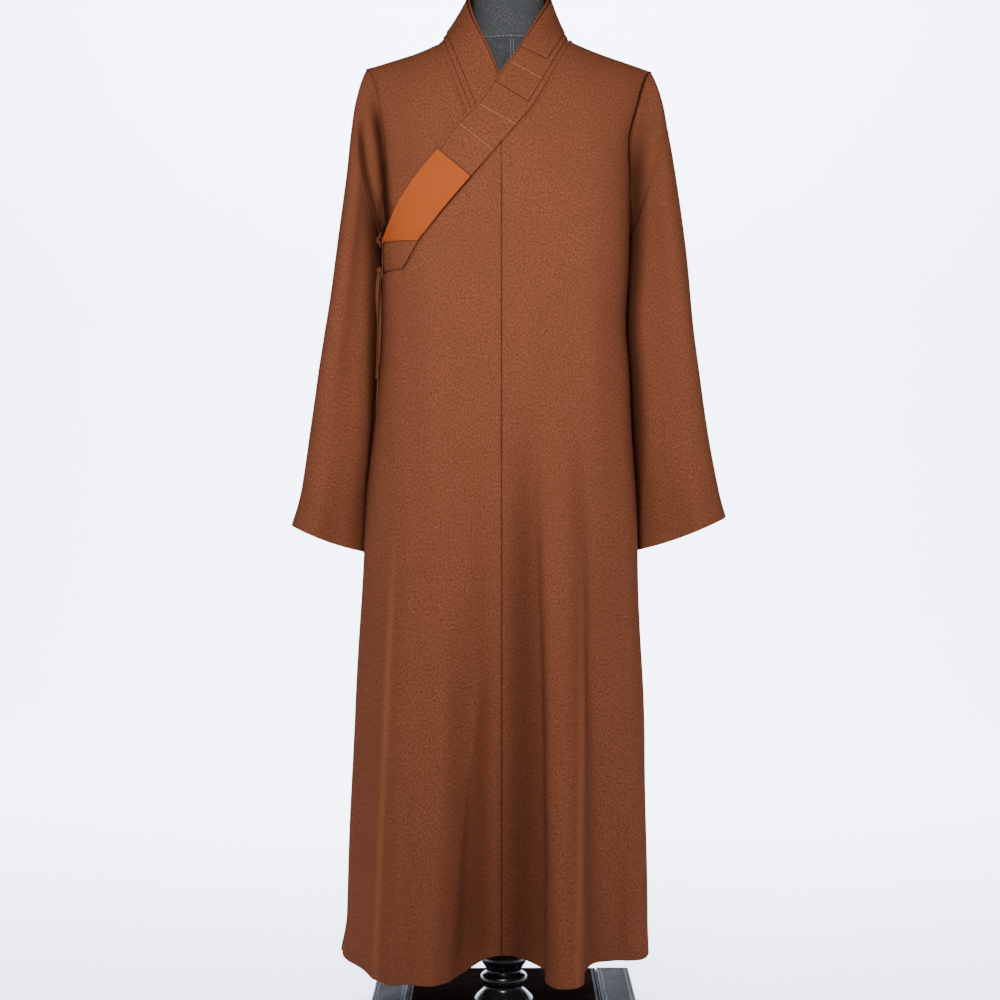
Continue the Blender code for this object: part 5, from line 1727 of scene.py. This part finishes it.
# Each light: its share of a power that the user sets, its sides and the degrees it spreads over.
# The last one lights only the backdrop.
LIGHTS = (
    ("name", "place", "aim", "power", "share", "width", "height", "spread", "backdrop_only"),
    ("key", (-0.22, -1.9, 1.6), (0.0, 0.0, 1.10), "key_power", 1.0, 0.6, 0.6, 95.0, False),
    ("fill", (1.5, -2.0, 1.9), (0.0, 0.0, 1.10), "key_power", 0.30, 1.0, 1.0, 110.0, False),
    ("back", (0.0, 1.7, 3.6), (0.0, 3.9, 0.8), "backdrop_power", 1.0, 5.0, 1.5, 180.0, True),
)


def area_light(light, backdrop):
    """A light from its row of LIGHTS."""
    data = bpy.data.lights.new(light["name"], "AREA")
    data.shape = "RECTANGLE"
    data.size, data.size_y = light["width"], light["height"]
    data.energy = getattr(bpy.context.scene.robe_stage, light["power"]) * light["share"]
    data.spread = math.radians(light["spread"])
    lamp = bpy.data.objects.new(light["name"], data)
    lamp.location = light["place"]
    ahead = Vector(light["aim"]) - Vector(light["place"])
    lamp.rotation_euler = ahead.to_track_quat("-Z", "Y").to_euler()
    if light["backdrop_only"]:
        lamp.light_linking.receiver_collection = backdrop
    bpy.context.scene.collection.objects.link(lamp)


class ROBE_OT_stage(bpy.types.Operator):
    """Lay the floor and the backdrop, and set the lights and the camera"""
    bl_idname = "robe.stage"
    bl_label = "Stage"

    def execute(self, context):
        scene = context.scene
        settings = scene.robe_stage
        surface = make_floor(tuple(settings.floor_colour))
        reach, depth, bend, wall = 7.0, 3.0, 1.5, 6.0
        swing = np.linspace(0, math.pi / 2, 25)
        profile = [(-reach, 0.0)] + [(depth + bend * math.sin(a), bend - bend * math.cos(a)) for a in swing]
        profile.append((depth + bend, wall))
        points = np.array([[(x, y, z) for x in (-reach, reach)] for y, z in profile])
        mesh = mesh_from("floor", points, grid_faces(len(profile), 2))
        mesh.materials.append(surface)
        floor = bpy.data.objects.new("floor", mesh)
        scene.collection.objects.link(floor)
        backdrop = bpy.data.collections.new("backdrop")
        backdrop.objects.link(floor)
        for light in entries(LIGHTS):
            area_light(light, backdrop)
        world = bpy.data.worlds.new("studio")
        world.use_nodes = True
        sky = world.node_tree.nodes["Background"].inputs
        sky["Color"].default_value, sky["Strength"].default_value = WORLD_COLOUR, settings.world_strength
        scene.world = world
        data = bpy.data.cameras.new("camera")
        data.sensor_width = CAMERA_SENSOR
        data.lens = CAMERA_LENS
        data.clip_start, data.clip_end = 0.05, 60.0
        camera = bpy.data.objects.new("camera", data)
        camera.location = CAMERA_PLACE
        camera.rotation_euler = (math.pi / 2 - CAMERA_TILT, 0.0, 0.0)
        scene.collection.objects.link(camera)
        scene.camera = camera
        return {"FINISHED"}


class ROBE_PT_panel(bpy.types.Panel):
    bl_idname = "ROBE_PT_panel"
    bl_label = "Monk's Robe"
    bl_space_type = "VIEW_3D"
    bl_region_type = "UI"
    bl_category = "Robe"

    def draw(self, context):
        for name, steps in GROUPS:
            box = self.layout.box()
            settings = getattr(context.scene, name)
            for field in settings.__annotations__:
                box.prop(settings, field)
            for step in steps:
                box.operator(step)


GROUPS = (
    ("robe_cloth", ("robe.finishes", "robe.fronts", "robe.backs", "robe.sleeves", "robe.ties")),
    ("robe_collar", ("robe.collar", "robe.sewing")),
    ("robe_form", ("robe.form", "robe.post", "robe.base")),
    ("robe_stage", ("robe.stage",)),
)
SETTINGS = {
    "robe_cloth": RobeClothSettings,
    "robe_collar": RobeCollarSettings,
    "robe_form": RobeFormSettings,
    "robe_stage": RobeStageSettings,
}
CLASSES = (ROBE_OT_finishes, ROBE_OT_fronts, ROBE_OT_backs, ROBE_OT_sleeves, ROBE_OT_collar,
           ROBE_OT_sewing, ROBE_OT_ties, ROBE_OT_form, ROBE_OT_post, ROBE_OT_base, ROBE_OT_stage,
           ROBE_PT_panel)


def register():
    for name, group in SETTINGS.items():
        bpy.utils.register_class(group)
        setattr(bpy.types.Scene, name, PointerProperty(type=group))
    for item in CLASSES:
        bpy.utils.register_class(item)


def unregister():
    for item in reversed(CLASSES):
        bpy.utils.unregister_class(item)
    for name, group in SETTINGS.items():
        delattr(bpy.types.Scene, name)
        bpy.utils.unregister_class(group)


def main():
    register()
    bpy.ops.robe.finishes()
    bpy.ops.robe.stage()
    bpy.ops.robe.form()
    bpy.ops.robe.post()
    bpy.ops.robe.base()
    bpy.ops.robe.fronts()
    bpy.ops.robe.backs()
    bpy.ops.robe.sleeves()
    bpy.ops.robe.collar()
    bpy.ops.robe.ties()
    bpy.ops.robe.sewing()
    bpy.context.view_layer.update()


if __name__ == "__main__":
    main()
